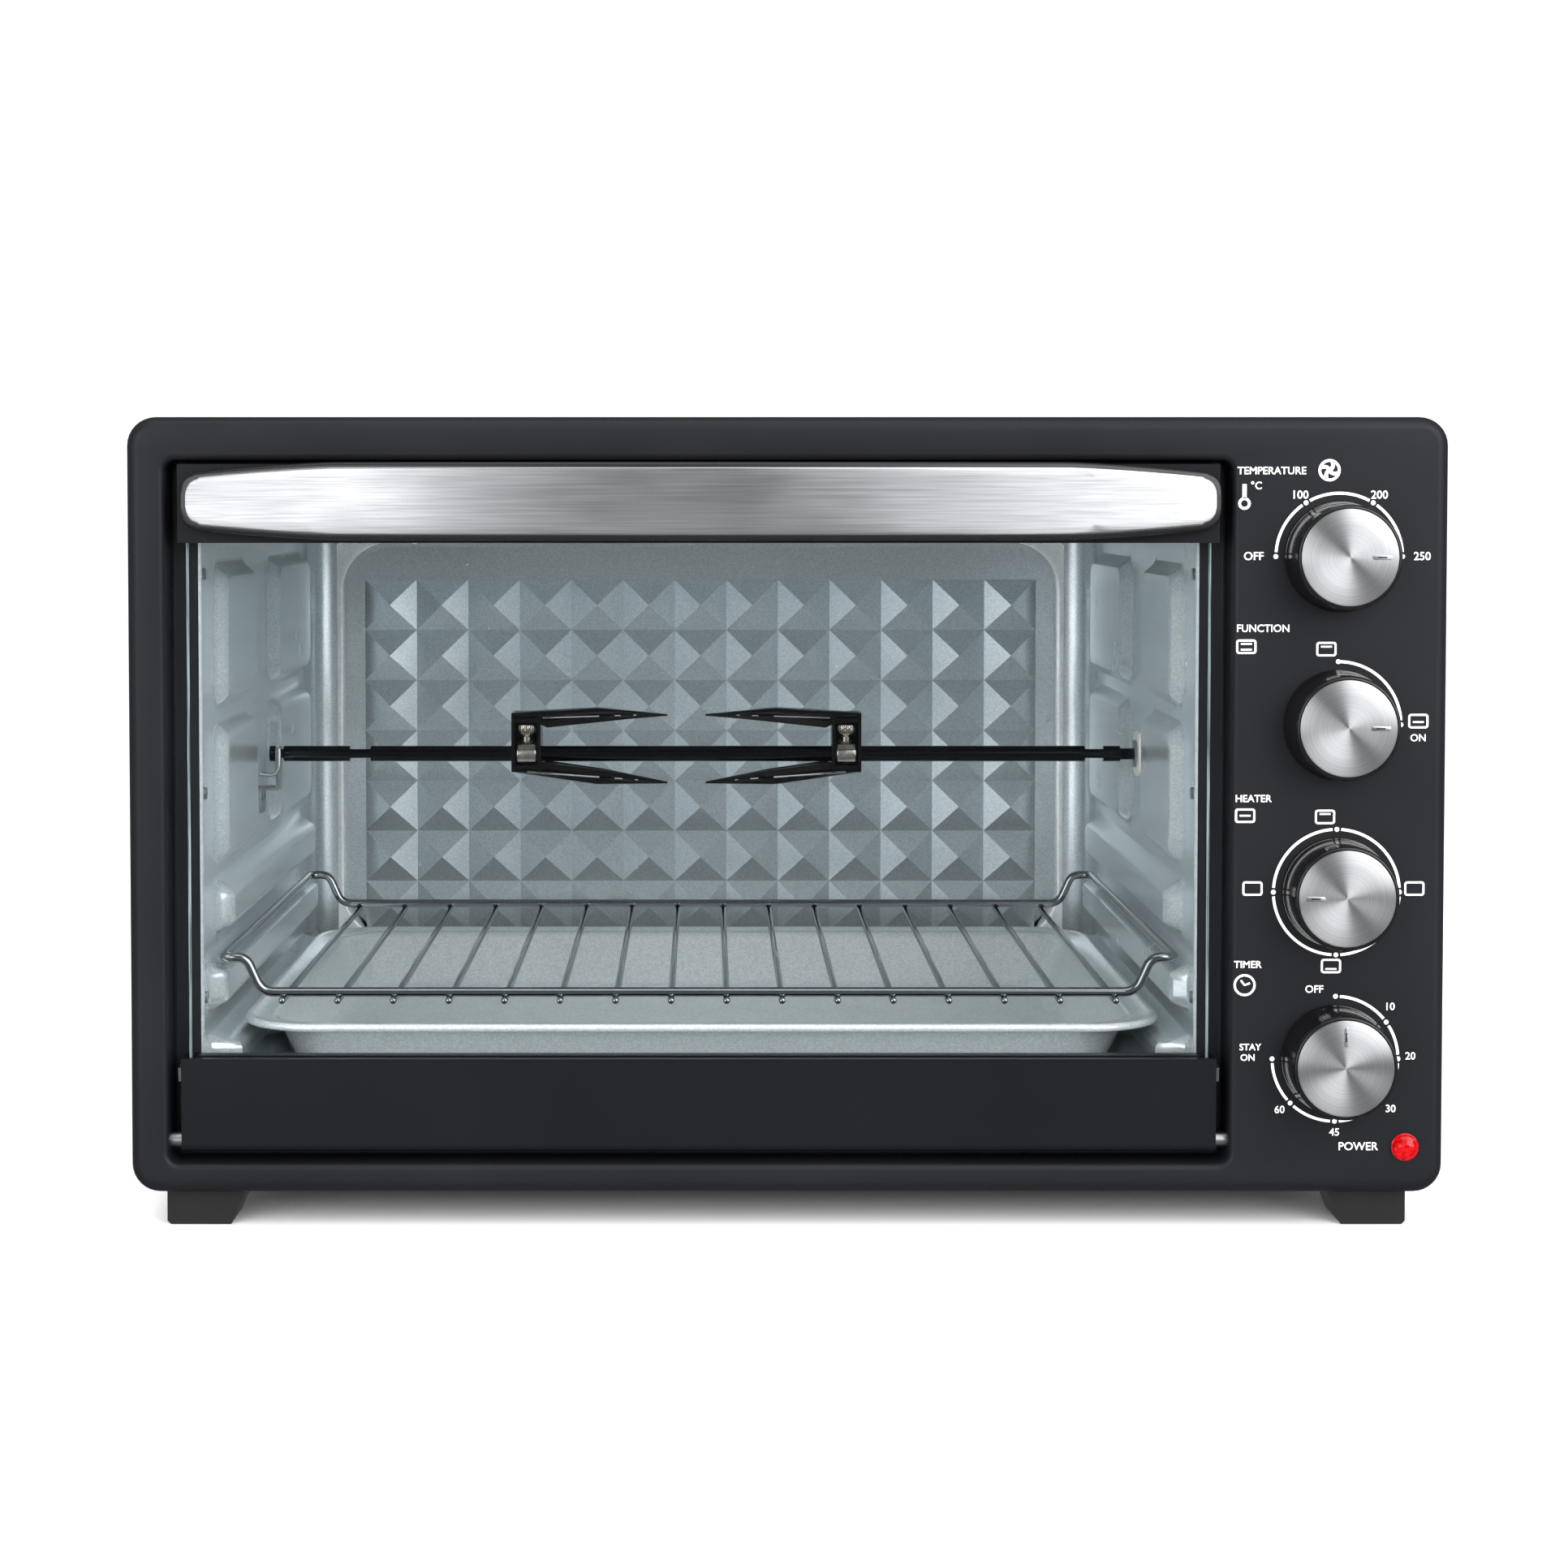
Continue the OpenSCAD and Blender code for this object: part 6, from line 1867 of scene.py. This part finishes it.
@dataclass
class Studio:
    """A plain white studio: paper floor, soft boxes and the camera. Glossy rays see a dimmer room
    with three soft reflectors in place of the soft boxes and the floor."""

    camera_at: Point = (-33.7, -1378.0, 307.1)
    pitch: float = 2.2
    lens: float = 65.8
    shift: Flat = (0.0494, -0.1119)
    sensor: float = 36.0
    room: float = 1.22
    room_in_gloss: float = 0.24
    front_spread: float = 44.0
    paper_step: float = 700.0
    paper_top: float = -0.1

    def soft_box(self, name: str, at: Point, aim: Point, size: Flat, power: float) -> None:
        """Hang one soft box.

        Args:
            name: its name.
            at: its place in millimetres.
            aim: the point it faces.
            size: its width and height in metres.
            power: its power in watts.
        """
        light = bpy.data.lights.new(name, "AREA")
        light.shape, light.size, light.size_y, light.energy = "RECTANGLE", size[0], size[1], power
        obj = bpy.data.objects.new(name, light)
        obj.location = Vector(at) * MM
        obj.rotation_euler = (Vector(aim) - Vector(at)).to_track_quat("-Z", "Y").to_euler()
        obj.visible_glossy = False
        bpy.context.scene.collection.objects.link(obj)

    def panel(self, tree: bpy.types.NodeTree, toward: Point, edge: Flat, strength: float
              ) -> bpy.types.NodeSocket:
        """Give the brightness of one soft reflector of the studio, by direction.

        Args:
            tree: the world's nodes.
            toward: the direction of its middle.
            edge: the cosines at which it begins and is full.
            strength: its brightness.

        Returns:
            The socket with its brightness.
        """
        looking = add_node(tree, "ShaderNodeTexCoord").outputs["Generated"]
        near = add_node(tree, "ShaderNodeVectorMath",
                        {"operation": "DOT_PRODUCT", 1: tuple(Vector(toward).normalized())}, {0: looking})
        return add_node(tree, "ShaderNodeMapRange",
                        {"interpolation_type": "SMOOTHSTEP", "From Min": edge[0], "From Max": edge[1],
                         "To Max": strength}, {"Value": near.outputs["Value"]}).outputs["Result"]

    def build(self) -> None:
        """Set the floor, the lights, the surroundings and the camera."""
        floor = Shape()
        rows = [[(x * self.paper_step, y * self.paper_step, self.paper_top) for x in range(-9, 10)]
                for y in range(-9, 10)]
        floor.sheet(rows, (0, 0, -5))
        obj = floor.build("studio_floor", PAPER.material())
        obj.visible_glossy = False
        self.soft_box("soft_box_top", (0, -150, 1900), (0, 0, 0), (2.4, 1.6), 20)
        self.soft_box("soft_box_left", (-1080, -1650, 760), (-40, -60, 180), (1.2, 1.9), 34)
        self.soft_box("soft_box_front", (-40, -1560, 640), (-40, 100, 165), (0.8, 0.5), 1.0)
        bpy.data.lights["soft_box_front"].spread = math.radians(self.front_spread)
        self.soft_box("soft_box_right", (1050, -1550, 1150), (-40, -60, 180), (1.4, 1.9), 52)
        world = bpy.data.worlds.new("studio")
        bpy.context.scene.world = world
        world.use_nodes = True
        tree = world.node_tree
        tree.nodes.clear()
        world.cycles.sampling_method = "NONE"
        ray = add_node(tree, "ShaderNodeLightPath")
        room = add_node(tree, "ShaderNodeBackground",
                        {"Color": linear("FDFDFC"), "Strength": self.room})
        light = self.panel(tree, (0.60, -0.74, 0.42), (0.84, 0.94), 3.8)
        for toward, edge, strength in (((-0.5, -0.85, 0.15), (0.92, 0.985), 2.8),
                                       ((0.0, -0.35, 1.0), (0.86, 0.97), 1.6)):
            more = self.panel(tree, toward, edge, strength)
            light = add_node(tree, "ShaderNodeMath", {"operation": "ADD"},
                             {0: light, 1: more}).outputs[0]
        total = add_node(tree, "ShaderNodeMath", {"operation": "ADD", 1: self.room_in_gloss},
                         {0: light})
        dim = add_node(tree, "ShaderNodeBackground", {"Color": linear("F6F7F8")},
                       {"Strength": total.outputs[0]})
        both = add_node(tree, "ShaderNodeMixShader",
                        links={0: ray.outputs["Is Glossy Ray"], 1: room.outputs[0], 2: dim.outputs[0]})
        add_node(tree, "ShaderNodeOutputWorld", links={"Surface": both.outputs[0]})
        data = bpy.data.cameras.new("camera")
        data.lens, data.sensor_width = self.lens, self.sensor
        data.shift_x, data.shift_y = self.shift
        data.clip_start, data.clip_end = 0.05, 50.0
        cam = bpy.data.objects.new("camera", data)
        cam.location = Vector(self.camera_at) * MM
        cam.rotation_euler = (math.radians(90 - self.pitch), 0.0, 0.0)
        bpy.context.scene.collection.objects.link(cam)
        bpy.context.scene.camera = cam
        bpy.context.scene.view_settings.view_transform = "Standard"


def main() -> None:
    """Build the oven in order and report each piece."""
    logging.basicConfig(level=logging.INFO, format="%(name)s: %(message)s", stream=sys.stdout)
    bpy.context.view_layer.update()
    Studio().build()
    for node, finish in CARRIED.items():
        dress(node, finish)
    FrontFrame().build()
    MouthRim().build()
    for side in (-1, 1):
        SideWall(side).build()
    BackPanel().build()
    DoorGlass().build()
    DoorHandle().build()
    for name, angle in (("temperature", 0.0), ("function", 0.0), ("heat", 180.0), ("timer", 90.0)):
        Knob(name, angle).build()
    Legends().build()
    Indicator().build()
    for side in ("left", "right"):
        SpitFork(side).build()
    SpitCradle().build()
    WireRack().build()
    BakingTray().build()


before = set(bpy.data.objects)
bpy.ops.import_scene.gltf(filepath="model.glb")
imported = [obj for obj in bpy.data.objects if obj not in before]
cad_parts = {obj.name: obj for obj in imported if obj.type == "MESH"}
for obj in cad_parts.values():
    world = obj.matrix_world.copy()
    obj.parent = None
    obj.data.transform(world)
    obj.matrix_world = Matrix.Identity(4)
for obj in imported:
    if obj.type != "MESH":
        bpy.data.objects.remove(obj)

if __name__ == "__main__":
    main()
